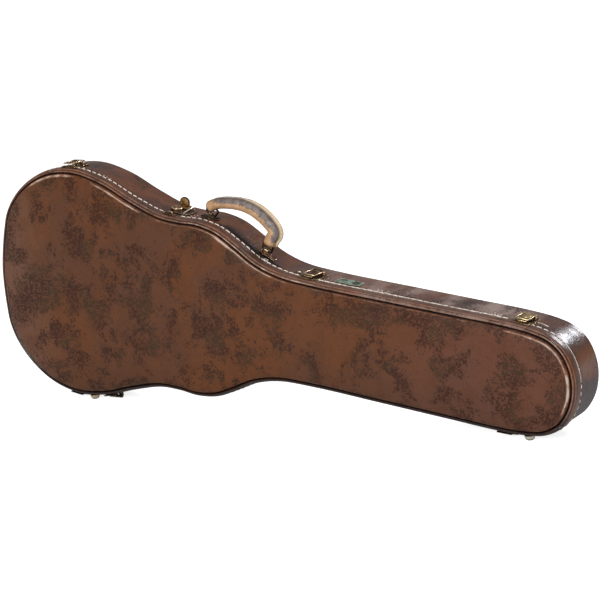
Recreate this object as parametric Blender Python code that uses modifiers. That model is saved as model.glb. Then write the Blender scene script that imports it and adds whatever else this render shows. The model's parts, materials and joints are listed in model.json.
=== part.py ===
"""Hardshell case for an electric guitar, standing on its hinge side.

The case is laid out in its own plane first: u runs from the butt to the head
end, v across it, and y through its thickness, lid first. The empty
"case_frame" carries that plane and leans it, because the case stands on the
low point of its lower bout and on its head end. Hinge parts follow the ground
line, so they are placed in world coordinates.
"""

import math

import bmesh
import bpy
from mathutils import Matrix, Vector

MM = 0.001
GAP = 0.3 * MM                      # room between pieces that touch

# Outline stations, butt to head end: distance along the case, half its width.
STATIONS_MM = (
    (0.0, 0.0), (2.4, 36.0), (7.0, 68.0), (14.0, 98.0), (30.0, 127.0),
    (60.0, 157.3), (105.0, 182.7), (160.0, 192.6), (220.0, 183.6),
    (280.0, 162.0), (335.0, 145.6), (375.0, 143.0), (412.0, 144.4),
    (450.0, 137.5), (487.0, 119.8), (525.0, 99.6), (570.0, 87.2),
    (640.0, 83.2), (750.0, 83.0), (870.0, 83.0), (965.0, 82.8),
    (1008.0, 79.8), (1036.0, 73.2), (1058.0, 58.5), (1071.0, 39.5),
    (1078.0, 19.5), (1080.0, 0.0),
)
LEAN = math.radians(7.7)            # head end lower than the butt
HALF_DEPTH = 41.0 * MM              # half the height of the side walls
WALL = 4.5 * MM
GROUND = 9.5 * MM                   # from the floor to the lowest wall

# Through the thickness: the lid is in front, at negative y.
LID_EDGE = -19.6 * MM
BASE_EDGE = -18.0 * MM
PARTING = -18.8 * MM
BAND_FRONT = -34.0 * MM
BAND = 2.2 * MM                     # how far the sewn band stands proud
BAND_OUT = BAND + GAP

# Panel section: inset from the outline and depth beyond the wall's middle.
PANEL_OUTSIDE_MM = (
    (4.8, 34.2), (4.8, 38.6), (7.0, 41.6), (9.2, 44.0), (14.0, 45.7), (30.0, 47.9), (60.0, 50.5),
)
PANEL_INSIDE_MM = ((9.6, 34.2), (9.6, 39.2), (22.0, 42.6), (60.0, 46.3))
LID_PAD_OUTSIDE_MM = ((10.0, 30.5), (10.0, 38.6), (22.0, 42.1), (60.0, 45.8))
LID_PAD_INSIDE_MM = ((14.0, 29.0), (60.0, 33.5))
FLOOR_OUTSIDE_MM = ((17.4, 33.5), (17.4, 40.4), (60.0, 45.6))
FLOOR_INSIDE_MM = ((21.0, 32.7), (60.0, 33.0))
LINING_MM = (7.0, 17.0)             # insets of the padding on the walls
LINING_TOP = -22.0 * MM
LINING_REAR = 33.8 * MM
LINING_JOINTS_MM = (45.0, 300.0, 540.0, 985.0)
LINING_STRIPS = ("bout_under", "waist_under", "neck_under", "head",
                 "neck_top", "waist_top", "bout_top", "butt")
TONGUE_MM = (5.0, 6.6)

OUTLINE_TOLERANCE = 0.8 * MM        # most that a side of the outline cuts in
LONGEST_SIDE = 90.0 * MM

# Positions along the case.
LENGTH = STATIONS_MM[-1][0] * MM
FOOT_FROM_HEAD = 72.0 * MM          # from the head end's tip
HINGE_FROM_HEAD = 112.0 * MM
FOOT_U = {"butt": 191.0 * MM, "head": LENGTH - FOOT_FROM_HEAD}
HINGE_U = {"butt": 155.0 * MM, "bout": 227.0 * MM, "head": LENGTH - HINGE_FROM_HEAD}
LATCH_U = {"butt": 144.0 * MM, "neck": 617.0 * MM, "head": 984.0 * MM}
LABEL_U = 674.5 * MM
STUD_U = 583.5 * MM
FOOT_RADIUS = 8.0 * MM
FOOT_FLAT = 2.6 * MM                # radius of the flat that meets the floor
FOOT_Y = {"lid": -31.0 * MM, "base": 30.0 * MM}
KNUCKLE = 2.6 * MM
PIN = 1.3 * MM

# Handle, in the plane of the case: its two swing points, then its middle line.
SWING_BUTT = Vector((413.0, 0.0, 151.0)) * MM
SWING_HEAD = Vector((521.0, 0.0, 108.5)) * MM
LOCK_CLEAR = 61.0 * MM               # from the lock's middle to the handle's loop
LOCK_U = SWING_BUTT.x - LOCK_CLEAR
HANDLE_Y = -1.0 * MM
GRIP_LINE_MM = (
    (413.2, 159.6), (418.6, 165.8), (431.0, 171.8), (451.0, 175.8), (472.0, 176.6),
    (491.0, 173.6), (509.0, 165.8), (526.0, 154.5), (537.0, 141.5), (531.5, 130.5),
    (528.0, 121.5),
)
GRIP_SIZE_MM = (7.0, 8.4, 10.0, 11.0, 11.6, 11.8, 11.8, 11.4, 10.6, 11.0, 11.8)
SEAM_MM = (0.3, 2.2, 3.6, 4.0, 4.0, 4.0, 4.0, 4.2, 4.6, 3.4, 0.8)
WIRE = 1.6 * MM

# Interior fittings on the padded floor.
FLOOR_TOP = 32.4 * MM
SUPPORT_U = 712.0 * MM
SUPPORT_SIZE = Vector((34.0, 36.0, 131.0)) * MM
SADDLE_RADIUS = 32.0 * MM
SADDLE_Y = -17.0 * MM                # depth of the neck's middle
BOX_SIZE = Vector((132.0, 24.0, 129.0)) * MM
BOX_U = SUPPORT_U - (SUPPORT_SIZE.x + BOX_SIZE.x) / 2 - 2.0 * MM
BOX_WALL = 4.0 * MM
TAB_SIZE = Vector((22.0, 1.6, 16.0)) * MM
TAB_OVER = 15.0 * MM                 # from the tab's middle to the box lid's edge


def clear_scene():
    for obj in list(bpy.data.objects):
        bpy.data.objects.remove(obj, do_unlink=True)


def collection(name):
    made = bpy.data.collections.new(name)
    bpy.context.scene.collection.children.link(made)
    return made


def material(name, colour, roughness, metallic=0.0):
    made = bpy.data.materials.new(name)
    made.use_nodes = True
    shader = made.node_tree.nodes["Principled BSDF"]
    shader.inputs["Base Color"].default_value = (*colour, 1.0)
    shader.inputs["Roughness"].default_value = roughness
    shader.inputs["Metallic"].default_value = metallic
    return made


# ---------------------------------------------------------------- outline

def catmull(a, b, c, d, t):
    """Centripetal Catmull-Rom point between b and c."""
    k0, k1 = 0.0, (b - a).length ** 0.5
    k2 = k1 + (c - b).length ** 0.5
    k3 = k2 + (d - c).length ** 0.5
    s = k1 + (k2 - k1) * t
    a1 = a * ((k1 - s) / (k1 - k0)) + b * ((s - k0) / (k1 - k0))
    a2 = b * ((k2 - s) / (k2 - k1)) + c * ((s - k1) / (k2 - k1))
    a3 = c * ((k3 - s) / (k3 - k2)) + d * ((s - k2) / (k3 - k2))
    b1 = a1 * ((k2 - s) / (k2 - k0)) + a2 * ((s - k0) / (k2 - k0))
    b2 = a2 * ((k3 - s) / (k3 - k1)) + a3 * ((s - k1) / (k3 - k1))
    return b1 * ((k2 - s) / (k2 - k1)) + b2 * ((s - k1) / (k2 - k1))


def dense_outline(steps=24):
    """The whole outline, anticlockwise from the butt through the hinge side."""
    low = [Vector((u, -v)) * MM for u, v in STATIONS_MM]
    high = [Vector((u, v)) * MM for u, v in reversed(STATIONS_MM[1:-1])]
    knots = low + high
    count = len(knots)
    points = []
    for i in range(count):
        around = [knots[(i + k) % count] for k in (-1, 0, 1, 2)]
        points += [catmull(*around, j / steps) for j in range(steps)]
    return points


def normals_of(points, reach=1):
    """Outward unit normals of an anticlockwise closed line."""
    count = len(points)
    found = []
    for i in range(count):
        along = (points[(i + reach) % count] - points[i - reach]).normalized()
        found.append(Vector((along.y, -along.x)))
    return found


def thin_outline(points):
    """Fewer points, closer together where the outline bends."""
    count = len(points)
    normals = normals_of(points, 3)
    spent = [0.0]
    for i in range(count):
        j = (i + 1) % count
        side = (points[j] - points[i]).length
        turn = normals[i].angle(normals[j], 0.0)
        spent.append(spent[-1] + math.sqrt(side * turn / (8 * OUTLINE_TOLERANCE)) + side / LONGEST_SIDE)
    total = int(math.ceil(spent[-1] / 2)) * 2
    chosen, i = [], 0
    for k in range(total):
        goal = spent[-1] * k / total
        while spent[i + 1] <= goal:
            i += 1
        share = (goal - spent[i]) / (spent[i + 1] - spent[i])
        j = (i + 1) % count
        chosen.append((points[i].lerp(points[j], share), normals[i].lerp(normals[j], share).normalized()))
    return chosen


DENSE = dense_outline()
RIM = thin_outline(DENSE)
# Points all along the straight sides that the walls really have.
SIDES = [RIM[i - 1][0].lerp(RIM[i][0], k / 12) for i in range(len(RIM)) for k in range(12)]


def loop_at(inset):
    """The outline moved inwards by inset, or outwards if it is negative."""
    return [point - normal * inset for point, normal in RIM]


def side_point(u, side):
    """Point, slope and index of the outline at u, on the handle (+1) or hinge (-1) side."""
    half = [p for p in DENSE if p.y * side >= 0.0]
    best = min(half, key=lambda p: abs(p.x - u))
    i = DENSE.index(best)
    normal = normals_of(DENSE, 3)[i]
    return best, normal


def corner_at(u, side):
    """Index of the outline's corner nearest to u on one side."""
    half = [i for i, (point, _) in enumerate(RIM) if point.y * side > 0.0]
    return min(half, key=lambda i: abs(RIM[i][0].x - u))


def standoff(point, normal, half_width, raise_by):
    """Height at which a flat plate clears the wall under it."""
    along = Vector((-normal.y, normal.x))
    near = [p for p in SIDES if abs((p - point).dot(along)) <= half_width + 2 * MM and (p - point).length < 0.08]
    return max((p - point).dot(normal) for p in near) + raise_by + GAP


# ---------------------------------------------------------------- building

class Builder:
    """Makes the named pieces and keeps their collections and materials."""

    def __init__(self):
        self.parts = collection("electric_guitar_case")
        self.cutters = collection("cutters")
        self.frame = bpy.data.objects.new("case_frame", None)
        self.parts.objects.link(self.frame)
        self.place_frame()
        self.looks = {
            "covering": material("brown_covering", (0.13, 0.055, 0.027), 0.45),
            "lining": material("plush_lining", (0.36, 0.06, 0.09), 0.95),
            "brass": material("aged_brass", (0.46, 0.30, 0.10), 0.38, 1.0),
            "leather": material("tan_leather", (0.50, 0.30, 0.15), 0.6),
            "wood": material("black_edge", (0.02, 0.015, 0.012), 0.7),
            "label": material("pale_label", (0.42, 0.55, 0.47), 0.4),
        }

    def place_frame(self):
        """Leans the case and sets it on its feet, in the middle of its own box."""
        turn = Matrix.Rotation(LEAN, 3, "Y")
        world = [turn @ Vector((p.x, 0.0, p.y)) for p in DENSE]
        low = min(p.z for p in world)
        middle = (min(p.x for p in world) + max(p.x for p in world)) / 2
        self.frame.rotation_euler = (0.0, LEAN, 0.0)
        self.frame.location = (-middle, 0.0, GROUND - low)
        self.frame_matrix = Matrix.Translation(self.frame.location) @ turn.to_4x4()

    def add(self, name, data, look, local=None, world=None):
        """One named piece. local places it on the case plane, world on the ground line."""
        obj = bpy.data.objects.new(name, data)
        self.parts.objects.link(obj)
        data.materials.append(self.looks[look])
        if world is None:
            obj.parent = self.frame
            obj.matrix_local = local or Matrix.Identity(4)
        else:
            obj.matrix_world = world
        if obj.type == "MESH":
            data.shade_smooth()
            data.set_sharp_from_angle(angle=math.radians(40.0))
        return obj

    def turned(self, name, profile, look, steps, local=None, world=None):
        """A turned piece from its half section."""
        obj = self.add(name, profile_mesh(name, profile), look, local, world)
        screw(obj, steps)
        return obj

    def helper(self, name, mesh, matrix_world):
        obj = bpy.data.objects.new(name, mesh)
        self.cutters.objects.link(obj)
        obj.matrix_world = matrix_world
        obj.hide_render = True
        obj.display_type = "WIRE"
        return obj

    def boolean(self, obj, other, operation="DIFFERENCE"):
        modifier = obj.modifiers.new(operation.lower(), "BOOLEAN")
        modifier.operation = operation
        modifier.solver = "EXACT"
        modifier.object = other
        return modifier


def bevel(obj, width, segments=2, angle=50.0):
    modifier = obj.modifiers.new("edges", "BEVEL")
    modifier.width = width
    modifier.segments = segments
    modifier.limit_method = "ANGLE"
    modifier.angle_limit = math.radians(angle)
    return modifier


def mesh_from(bm, name):
    bmesh.ops.recalc_face_normals(bm, faces=bm.faces)
    mesh = bpy.data.meshes.new(name)
    bm.to_mesh(mesh)
    bm.free()
    return mesh


def lofted(name, sections, y_sign=1.0):
    """Solid skin through loops given as (inset, depth), capped at its ends."""
    bm = bmesh.new()
    rows = []
    for inset, depth in sections:
        rows.append([bm.verts.new((p.x, y_sign * depth, p.y)) for p in loop_at(inset)])
    for first, second in zip(rows, rows[1:]):
        for i in range(len(first)):
            bm.faces.new((first[i - 1], first[i], second[i], second[i - 1]))
    bm.faces.new(rows[0])
    bm.faces.new(rows[-1])
    return mesh_from(bm, name)


def box_mesh(name, size, centre=(0.0, 0.0, 0.0), turn=None):
    bm = bmesh.new()
    matrix = Matrix.Translation(centre) @ (turn or Matrix.Identity(4)) @ Matrix.Diagonal((*size, 1.0))
    bmesh.ops.create_cube(bm, size=1.0, matrix=matrix)
    return mesh_from(bm, name)


def rod_matrix(start, end):
    """Where a unit-long rod along Z has to go to reach from start to end."""
    along = end - start
    turn = along.to_track_quat("Z", "Y").to_matrix().to_4x4()
    return Matrix.Translation((start + end) / 2) @ turn


def rod(bm, start, end, radius, segments=14):
    start, end = Vector(start), Vector(end)
    bmesh.ops.create_cone(
        bm, cap_ends=True, segments=segments, radius1=radius, radius2=radius,
        depth=(end - start).length, matrix=rod_matrix(start, end),
    )


def rod_mesh(name, start, end, radius, segments=14):
    bm = bmesh.new()
    rod(bm, start, end, radius, segments)
    return mesh_from(bm, name)


def screw(obj, steps):
    """Turns the object's profile once about its Z axis."""
    modifier = obj.modifiers.new("turn", "SCREW")
    modifier.axis = "Z"
    modifier.steps = steps
    modifier.render_steps = steps
    modifier.use_merge_vertices = True
    modifier.merge_threshold = 0.00001
    return modifier


def profile_mesh(name, profile):
    """Half section at +X: it runs from the axis at the top, down the outer side,
    and back to the axis at the bottom."""
    points = [(0.0, profile[0][1]), *profile, (0.0, profile[-1][1])]
    bm = bmesh.new()
    verts = [bm.verts.new((radius, 0.0, height)) for radius, height in points]
    for first, second in zip(verts, verts[1:]):
        bm.edges.new((first, second))
    mesh = bpy.data.meshes.new(name)
    bm.to_mesh(mesh)
    bm.free()
    return mesh


def rounded_corners(corners, radius, steps):
    """Closed line through the corners, each replaced by a short arc."""
    points = []
    for i, corner in enumerate(corners):
        before = (corners[i - 1] - corner).normalized()
        after = (corners[(i + 1) % len(corners)] - corner).normalized()
        half = before.angle(after) / 2
        start, end = corner + before * radius / math.tan(half), corner + after * radius / math.tan(half)
        middle = corner + (before + after).normalized() * radius / math.sin(half)
        sweep = math.pi - 2 * half
        for k in range(steps + 1):
            angle = sweep * k / steps
            points.append(middle + (start - middle) * (math.sin(sweep - angle) / math.sin(sweep))
                          + (end - middle) * (math.sin(angle) / math.sin(sweep)))
    return points


def wire_curve(name, points, radius):
    """Closed round wire along the points."""
    curve = bpy.data.curves.new(name, "CURVE")
    curve.dimensions = "3D"
    curve.bevel_depth = radius
    curve.bevel_resolution = 2
    spline = curve.splines.new("POLY")
    spline.points.add(len(points) - 1)
    for target, point in zip(spline.points, points):
        target.co = (*point, 1.0)
    spline.use_cyclic_u = True
    return curve


def ring_curve(name, insets, thickness):
    """Flat ring between two insets of the outline, extruded to its thickness."""
    curve = bpy.data.curves.new(name, "CURVE")
    curve.dimensions = "2D"
    curve.fill_mode = "BOTH"
    curve.extrude = thickness / 2
    for inset in insets:
        line = loop_at(inset)
        spline = curve.splines.new("POLY")
        spline.points.add(len(line) - 1)
        for target, point in zip(spline.points, line):
            target.co = (point.x, point.y, 0.0, 1.0)
        spline.use_cyclic_u = True
    return curve


def wall_matrix(u, side, y, half_width, raise_by=0.0):
    """Frame on the outer wall: X along it, Y through the case, Z outwards."""
    point, normal = side_point(u, side)
    out = Vector((normal.x, 0.0, normal.y))
    across = Vector((0.0, 1.0, 0.0))
    along = across.cross(out)
    origin = Vector((point.x, y, point.y)) + out * standoff(point, normal, half_width, raise_by)
    matrix = Matrix.Identity(4)
    for i, axis in enumerate((along, across, out)):
        matrix.col[i] = (*axis, 0.0)
    matrix.col[3] = (*origin, 1.0)
    return matrix


# ---------------------------------------------------------------- shells

def ring(build, name, insets, y_range, look, rounding=0.0):
    """Wall between two insets of the outline, from one depth to the other."""
    front, rear = y_range
    place = Matrix.Translation((0.0, (front + rear) / 2, 0.0)) @ Matrix.Rotation(math.pi / 2, 4, "X")
    obj = build.add(name, ring_curve(name, insets, rear - front), look, place)
    if rounding:
        weld = obj.modifiers.new("caps", "WELD")
        weld.merge_threshold = 0.00001
        bevel(obj, rounding, 1)
    return obj


def make_shells(build):
    ring(build, "base_wall", (0.0, WALL), (BASE_EDGE, HALF_DEPTH), "covering", 1.2 * MM)
    ring(build, "lid_wall", (0.0, WALL), (-HALF_DEPTH, LID_EDGE), "covering", 1.2 * MM)
    ring(build, "valance_band", (-BAND_OUT, -GAP), (BAND_FRONT, LID_EDGE - 0.1 * MM), "covering")
    ring(build, "alignment_tongue", [i * MM for i in TONGUE_MM], (-25.5 * MM, -8.0 * MM), "wood")
    make_lining(build)
    for name, side in (("lid_panel", -1.0), ("back_panel", 1.0)):
        outside = [(i * MM, y * MM) for i, y in PANEL_OUTSIDE_MM]
        inside = [(i * MM, y * MM) for i, y in PANEL_INSIDE_MM]
        build.add(name, dished(name, outside, inside, side), "covering")
    for name, side, outside, inside in (
        ("lid_pad", -1.0, LID_PAD_OUTSIDE_MM, LID_PAD_INSIDE_MM),
        ("floor_pad", 1.0, FLOOR_OUTSIDE_MM, FLOOR_INSIDE_MM),
    ):
        build.add(name, dished(name, [(i * MM, y * MM) for i, y in outside],
                               [(i * MM, y * MM) for i, y in inside], side), "lining")


def strip_curve(name, insets, thickness, start, stop):
    """Part of a flat ring, from one corner of the outline to another, extruded."""
    count = len(RIM)
    picked = [(start + k) % count for k in range((stop - start) % count + 1)]
    edges = []
    for inset in insets:
        line = [loop_at(inset)[i] for i in picked]
        line[0] = line[0] + (line[1] - line[0]).normalized() * GAP / 2
        line[-1] = line[-1] + (line[-2] - line[-1]).normalized() * GAP / 2
        edges.append(line)
    corners = edges[0] + edges[1][::-1]
    curve = bpy.data.curves.new(name, "CURVE")
    curve.dimensions = "2D"
    curve.fill_mode = "BOTH"
    curve.extrude = thickness / 2
    spline = curve.splines.new("POLY")
    spline.points.add(len(corners) - 1)
    for target, point in zip(spline.points, corners):
        target.co = (point.x, point.y, 0.0, 1.0)
    spline.use_cyclic_u = True
    return curve


def make_lining(build):
    """Padding on the walls, in strips that meet where the outline turns."""
    joints = [corner_at(u * MM, -1) for u in LINING_JOINTS_MM] + [corner_at(u * MM, 1) for u in LINING_JOINTS_MM[::-1]]
    front, rear = LINING_TOP, LINING_REAR
    place = Matrix.Translation((0.0, (front + rear) / 2, 0.0)) @ Matrix.Rotation(math.pi / 2, 4, "X")
    for i, key in enumerate(LINING_STRIPS):
        curve = strip_curve(f"lining_{key}", [i * MM for i in LINING_MM], rear - front, joints[i], joints[(i + 1) % len(joints)])
        build.add(f"lining_{key}", curve, "lining", place)


def dished(name, outside, inside, side):
    """Panel skin: inner cap, down to its rim, and up over the outside to the outer cap."""
    return lofted(name, list(reversed(inside)) + list(outside), side)


# ---------------------------------------------------------------- interior

def make_interior(build):
    # Neck support: a block across the case with a saddle for the neck.
    block = box_mesh("neck_support", SUPPORT_SIZE, (SUPPORT_U, FLOOR_TOP - SUPPORT_SIZE.y / 2, 0.0))
    support = build.add("neck_support", block, "lining")
    half = SUPPORT_SIZE.x / 2 + 5 * MM
    saddle = rod_mesh("neck_saddle", (SUPPORT_U - half, SADDLE_Y, 0.0), (SUPPORT_U + half, SADDLE_Y, 0.0), SADDLE_RADIUS, 24)
    build.boolean(support, build.helper("neck_saddle", saddle, build.frame_matrix))
    # Accessory box beside it, open at the top, and its lid.
    top = FLOOR_TOP - BOX_SIZE.y
    box = build.add("accessory_box", box_mesh("accessory_box", BOX_SIZE, (BOX_U, FLOOR_TOP - BOX_SIZE.y / 2, 0.0)), "lining")
    hollow = BOX_SIZE - Vector((2 * BOX_WALL, 0.0, 2 * BOX_WALL))
    room = box_mesh("accessory_room", hollow, (BOX_U, FLOOR_TOP - BOX_SIZE.y / 2 - BOX_WALL, 0.0))
    build.boolean(box, build.helper("accessory_room", room, build.frame_matrix))
    lid_size = Vector((BOX_SIZE.x, BOX_WALL, BOX_SIZE.z))
    lid = build.add("accessory_lid", box_mesh("accessory_lid", lid_size, (BOX_SIZE.x / 2, -BOX_WALL / 2 - GAP, 0.0)), "lining",
                    Matrix.Translation((BOX_U - BOX_SIZE.x / 2, top, 0.0)))
    bevel(lid, 1.0 * MM, 1)
    tab = build.add("accessory_tab", box_mesh("accessory_tab", TAB_SIZE), "leather",
                    Matrix.Translation((BOX_U + BOX_SIZE.x / 2 - TAB_OVER, top - BOX_WALL - 2 * GAP - TAB_SIZE.y / 2, 0.0)))
    bevel(tab, 0.5 * MM, 1)


# ---------------------------------------------------------------- hinges and feet

def ground_point(build, u, y):
    """World place of the hinge-side wall at u."""
    point, normal = side_point(u, -1)
    return (build.frame_matrix @ Vector((point.x, y, point.y)),
            (build.frame_matrix.to_3x3() @ Vector((normal.x, 0.0, normal.y))).normalized())


def make_hinges(build):
    """Three butt hinges whose knuckles share one straight line under the case."""
    axis_z = GROUND - BAND_OUT - GAP - KNUCKLE - 0.2 * MM
    for key, u in HINGE_U.items():
        place, _ = ground_point(build, u, 0.0)
        x = place.x
        centre = Vector((x, PARTING, axis_z))
        for part, sign, raise_by, spans in (
            ("base_leaf", 1.0, 0.0, ((-13.0, -4.8), (4.8, 13.0))),
            ("lid_leaf", -1.0, BAND_OUT, ((-4.3, 4.3),)),
        ):
            name = f"hinge_{key}_{part}"
            plate = build.frame_matrix @ wall_matrix(u, -1, 0.0, 13.5 * MM, raise_by)
            # The leaf lies on the wall, beyond the knuckle.
            y0, y1 = (3.2 * MM, 19.0 * MM)
            middle = PARTING + sign * (y0 + y1) / 2
            leaf = box_mesh(name, (26 * MM, y1 - y0, 1.2 * MM), (0.0, middle, 0.6 * MM))
            obj = build.add(name, leaf, "brass", world=plate)
            for j, (a, b) in enumerate(spans):
                bm = bmesh.new()
                rod(bm, centre + Vector((a * MM, 0, 0)), centre + Vector((b * MM, 0, 0)), KNUCKLE, 12)
                knuckle = build.helper(f"{name}_knuckle{j}", mesh_from(bm, "knuckle"), Matrix.Identity(4))
                # A web bends from the knuckle out to the leaf.
                edge = plate @ Vector((-(a + b) / 2 * MM, PARTING + sign * (y0 + 1.2 * MM), 0.6 * MM))
                low = axis_z
                high = edge.z - 0.2 * MM
                y_in = PARTING + sign * 1.6 * MM
                y_out = PARTING + sign * (y0 + 1.4 * MM)
                web = box_mesh("web", ((b - a) * MM, abs(y_out - y_in), high - low),
                               (centre.x + (a + b) / 2 * MM, (y_in + y_out) / 2, (low + high) / 2))
                web_obj = build.helper(f"{name}_web{j}", web, Matrix.Identity(4))
                build.boolean(obj, knuckle, "UNION")
                build.boolean(obj, web_obj, "UNION")
            bore = rod_mesh("bore", centre + Vector((-15 * MM, 0, 0)), centre + Vector((15 * MM, 0, 0)), PIN + GAP, 12)
            build.boolean(obj, build.helper(f"{name}_bore", bore, Matrix.Identity(4)))
        head = PIN + 0.7 * MM
        build.turned(f"hinge_{key}_pin", ((head, 14.3 * MM), (head, 13.4 * MM), (PIN, 13.4 * MM),
                                          (PIN, -13.4 * MM), (head, -13.4 * MM), (head, -14.3 * MM)), "brass", 10,
                     world=Matrix.Translation(centre) @ Matrix.Rotation(math.pi / 2, 4, "Y"))


def make_feet(build):
    """Pressed glides with a small flat where they touch the floor."""
    for shell, y in FOOT_Y.items():
        raise_by = BAND_OUT if shell == "lid" else 0.0
        for key, u in FOOT_U.items():
            place, _ = ground_point(build, u, y)
            point, normal = side_point(u, -1)
            top = place.z - (standoff(point, normal, FOOT_RADIUS, raise_by))
            dome = top - 1.2 * MM
            profile = [(FOOT_RADIUS, top), (FOOT_RADIUS, dome)]
            for k in range(1, 4):
                angle = math.radians(21 * k)
                profile.append((FOOT_RADIUS * math.cos(angle) ** 0.8, dome * (1 - math.sin(angle))))
            profile.append((FOOT_FLAT, 0.0))
            build.turned(f"{shell}_foot_{key}", profile, "brass", 16, world=Matrix.Translation((place.x, y, 0.0)))


# ---------------------------------------------------------------- latches

def joined(build, name, mesh, pieces, look, local, cuts=(), steps=0):
    """A piece made of simple solids in one local frame. steps turns its profile first."""
    obj = build.add(name, mesh, look, local)
    if steps:
        screw(obj, steps)
    world = build.frame_matrix @ local
    for k, piece in enumerate(pieces):
        build.boolean(obj, build.helper(f"{name}_add{k}", piece, world), "UNION")
    for k, piece in enumerate(cuts):
        build.boolean(obj, build.helper(f"{name}_cut{k}", piece, world))
    return obj


def make_latch(build, key, u):
    """Hasp latch: a lever hinged on the base reaches over the parting line to a
    catch on the lid."""
    pivot_y, pivot_z = 1.5 * MM, 4.6 * MM
    base = wall_matrix(u, 1, 0.0, 15 * MM)
    plate = box_mesh("latch_plate", (28 * MM, 28 * MM, 1.2 * MM), (0, -3.4 * MM, 0.6 * MM))
    ears = [box_mesh("ear", (2 * MM, 5.2 * MM, 5.6 * MM), (side * 6.5 * MM, pivot_y, 3.3 * MM)) for side in (-1, 1)]
    pin = rod_mesh("latch_pin", (-9.6 * MM, pivot_y, pivot_z), (9.6 * MM, pivot_y, pivot_z), 1.0 * MM, 10)
    joined(build, f"latch_{key}_plate", plate, [*ears, pin], "brass", base)
    # Lever: a plate with side cheeks that hang on the pin, and a curled lip.
    lever_frame = base @ Matrix.Translation((0, pivot_y, pivot_z))
    top = box_mesh("lever", (21 * MM, 31 * MM, 1.3 * MM), (0, -13.8 * MM, 4.0 * MM))
    cheeks = []
    for side in (-1, 1):
        cheeks.append(box_mesh("cheek", (1.2 * MM, 6.0 * MM, 6.0 * MM), (side * 8.6 * MM, -0.7 * MM, 1.1 * MM)))
    lip = box_mesh("lip", (21 * MM, 1.3 * MM, 2.6 * MM), (0, -28.8 * MM, 2.9 * MM))
    hole = rod_mesh("lever_hole", (-12 * MM, 0, 0), (12 * MM, 0, 0), 1.3 * MM, 10)
    joined(build, f"latch_{key}_lever", top, [*cheeks, lip], "brass", lever_frame, [hole])
    # Catch on the sewn band, with the lug that the lip snaps over.
    catch_frame = wall_matrix(u, 1, 0.0, 16 * MM, BAND_OUT)
    foot = box_mesh("catch", (32 * MM, 11.5 * MM, 1.1 * MM), (0, -27.0 * MM, 0.55 * MM))
    lug = box_mesh("lug", (14 * MM, 3.2 * MM, 2.4 * MM), (0, -24.6 * MM, 1.9 * MM))
    joined(build, f"latch_{key}_catch", foot, [lug], "brass", catch_frame)


def make_lock(build):
    """Lock latch, shown with its flap raised."""
    base = wall_matrix(LOCK_U + 4 * MM, 1, 0.0, 17 * MM) @ Matrix.Translation((-4 * MM, 0.0, 0.0))
    hinge_y, hinge_z = 9.6 * MM, 3.4 * MM
    plate = box_mesh("lock_plate", (36 * MM, 33 * MM, 1.2 * MM), (4 * MM, 4.0 * MM, 0.6 * MM))
    hinge_posts = [box_mesh("post", (3 * MM, 5 * MM, 4.2 * MM), (side * 11.5 * MM, hinge_y, 2.7 * MM)) for side in (-1, 1)]
    pin = rod_mesh("flap_pin", (-12.4 * MM, hinge_y, hinge_z), (12.4 * MM, hinge_y, hinge_z), 0.9 * MM, 10)
    joined(build, "lock_plate", plate, [*hinge_posts, pin], "brass", base)
    # Round lock case on the front of the plate, with the key plug in it.
    seat = base @ Matrix.Translation((-5.5 * MM, -3.0 * MM, 1.2 * MM + GAP))
    case = profile_mesh("lock_case", ((8.6 * MM, 5.2 * MM), (9.4 * MM, 4.2 * MM), (9.4 * MM, 0.0)))
    bore = rod_mesh("plug_bore", (0, 0, 1.0 * MM), (0, 0, 9 * MM), 4.3 * MM, 16)
    dish = rod_mesh("dish", (0, 0, 4.2 * MM), (0, 0, 9 * MM), 6.9 * MM, 20)
    joined(build, "lock_case", case, [], "brass", seat, [bore, dish], steps=20)
    plug = profile_mesh("lock_plug", ((3.5 * MM, 3.8 * MM), (4.0 * MM, 3.4 * MM), (4.0 * MM, 0.0)))
    slot = box_mesh("key_slot", (1.2 * MM, 4.6 * MM, 3.0 * MM), (0, 0, 3.6 * MM))
    joined(build, "lock_plug", plug, [], "brass", seat @ Matrix.Translation((0, 0, 1.0 * MM + GAP)), [slot], steps=16)
    # Raised flap: a rounded plate on a step behind its knuckle, so that it can
    # close over the lock case.
    flap_frame = base @ Matrix.Translation((0, hinge_y, hinge_z))
    knuckle = rod_mesh("flap", (-9.6 * MM, 0, 0), (9.6 * MM, 0, 0), 2.1 * MM, 12)
    step = box_mesh("step", (18.6 * MM, 3.6 * MM, 1.4 * MM), (0, 2.6 * MM, 1.2 * MM))
    blade = box_mesh("blade", (18.9 * MM, 1.3 * MM, 10.6 * MM), (0, 4.45 * MM, 5.5 * MM))
    crown = rod_mesh("crown", (0, 3.85 * MM, 10.6 * MM), (0, 5.05 * MM, 10.6 * MM), 9.6 * MM, 20)
    hole = rod_mesh("flap_hole", (-14 * MM, 0, 0), (14 * MM, 0, 0), 1.2 * MM, 10)
    joined(build, "lock_flap", knuckle, [step, blade, crown], "brass", flap_frame, [hole])
    catch_frame = wall_matrix(LOCK_U, 1, 0.0, 16 * MM, BAND_OUT)
    foot = box_mesh("lock_catch", (26 * MM, 9.5 * MM, 1.1 * MM), (-2 * MM, -27.0 * MM, 0.55 * MM))
    staple = box_mesh("staple", (9 * MM, 3.0 * MM, 3.2 * MM), (-2 * MM, -26.0 * MM, 2.3 * MM))
    joined(build, "lock_catch", foot, [staple], "brass", catch_frame)


# ---------------------------------------------------------------- handle

def grip_section(size, seam):
    """Teardrop about the middle line: round below, drawn up to the sewn seam."""
    points = []
    for k in range(11):
        angle = math.radians(170 + 20 * k)
        points.append((size * 0.98 * math.cos(angle), size * math.sin(angle)))
    points += [(size * 0.62, size * 0.72), (1.5 * MM, size + 0.25 * seam), (1.5 * MM, size + seam),
               (-1.5 * MM, size + seam), (-1.5 * MM, size + 0.25 * seam), (-size * 0.62, size * 0.72)]
    return points


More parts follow.
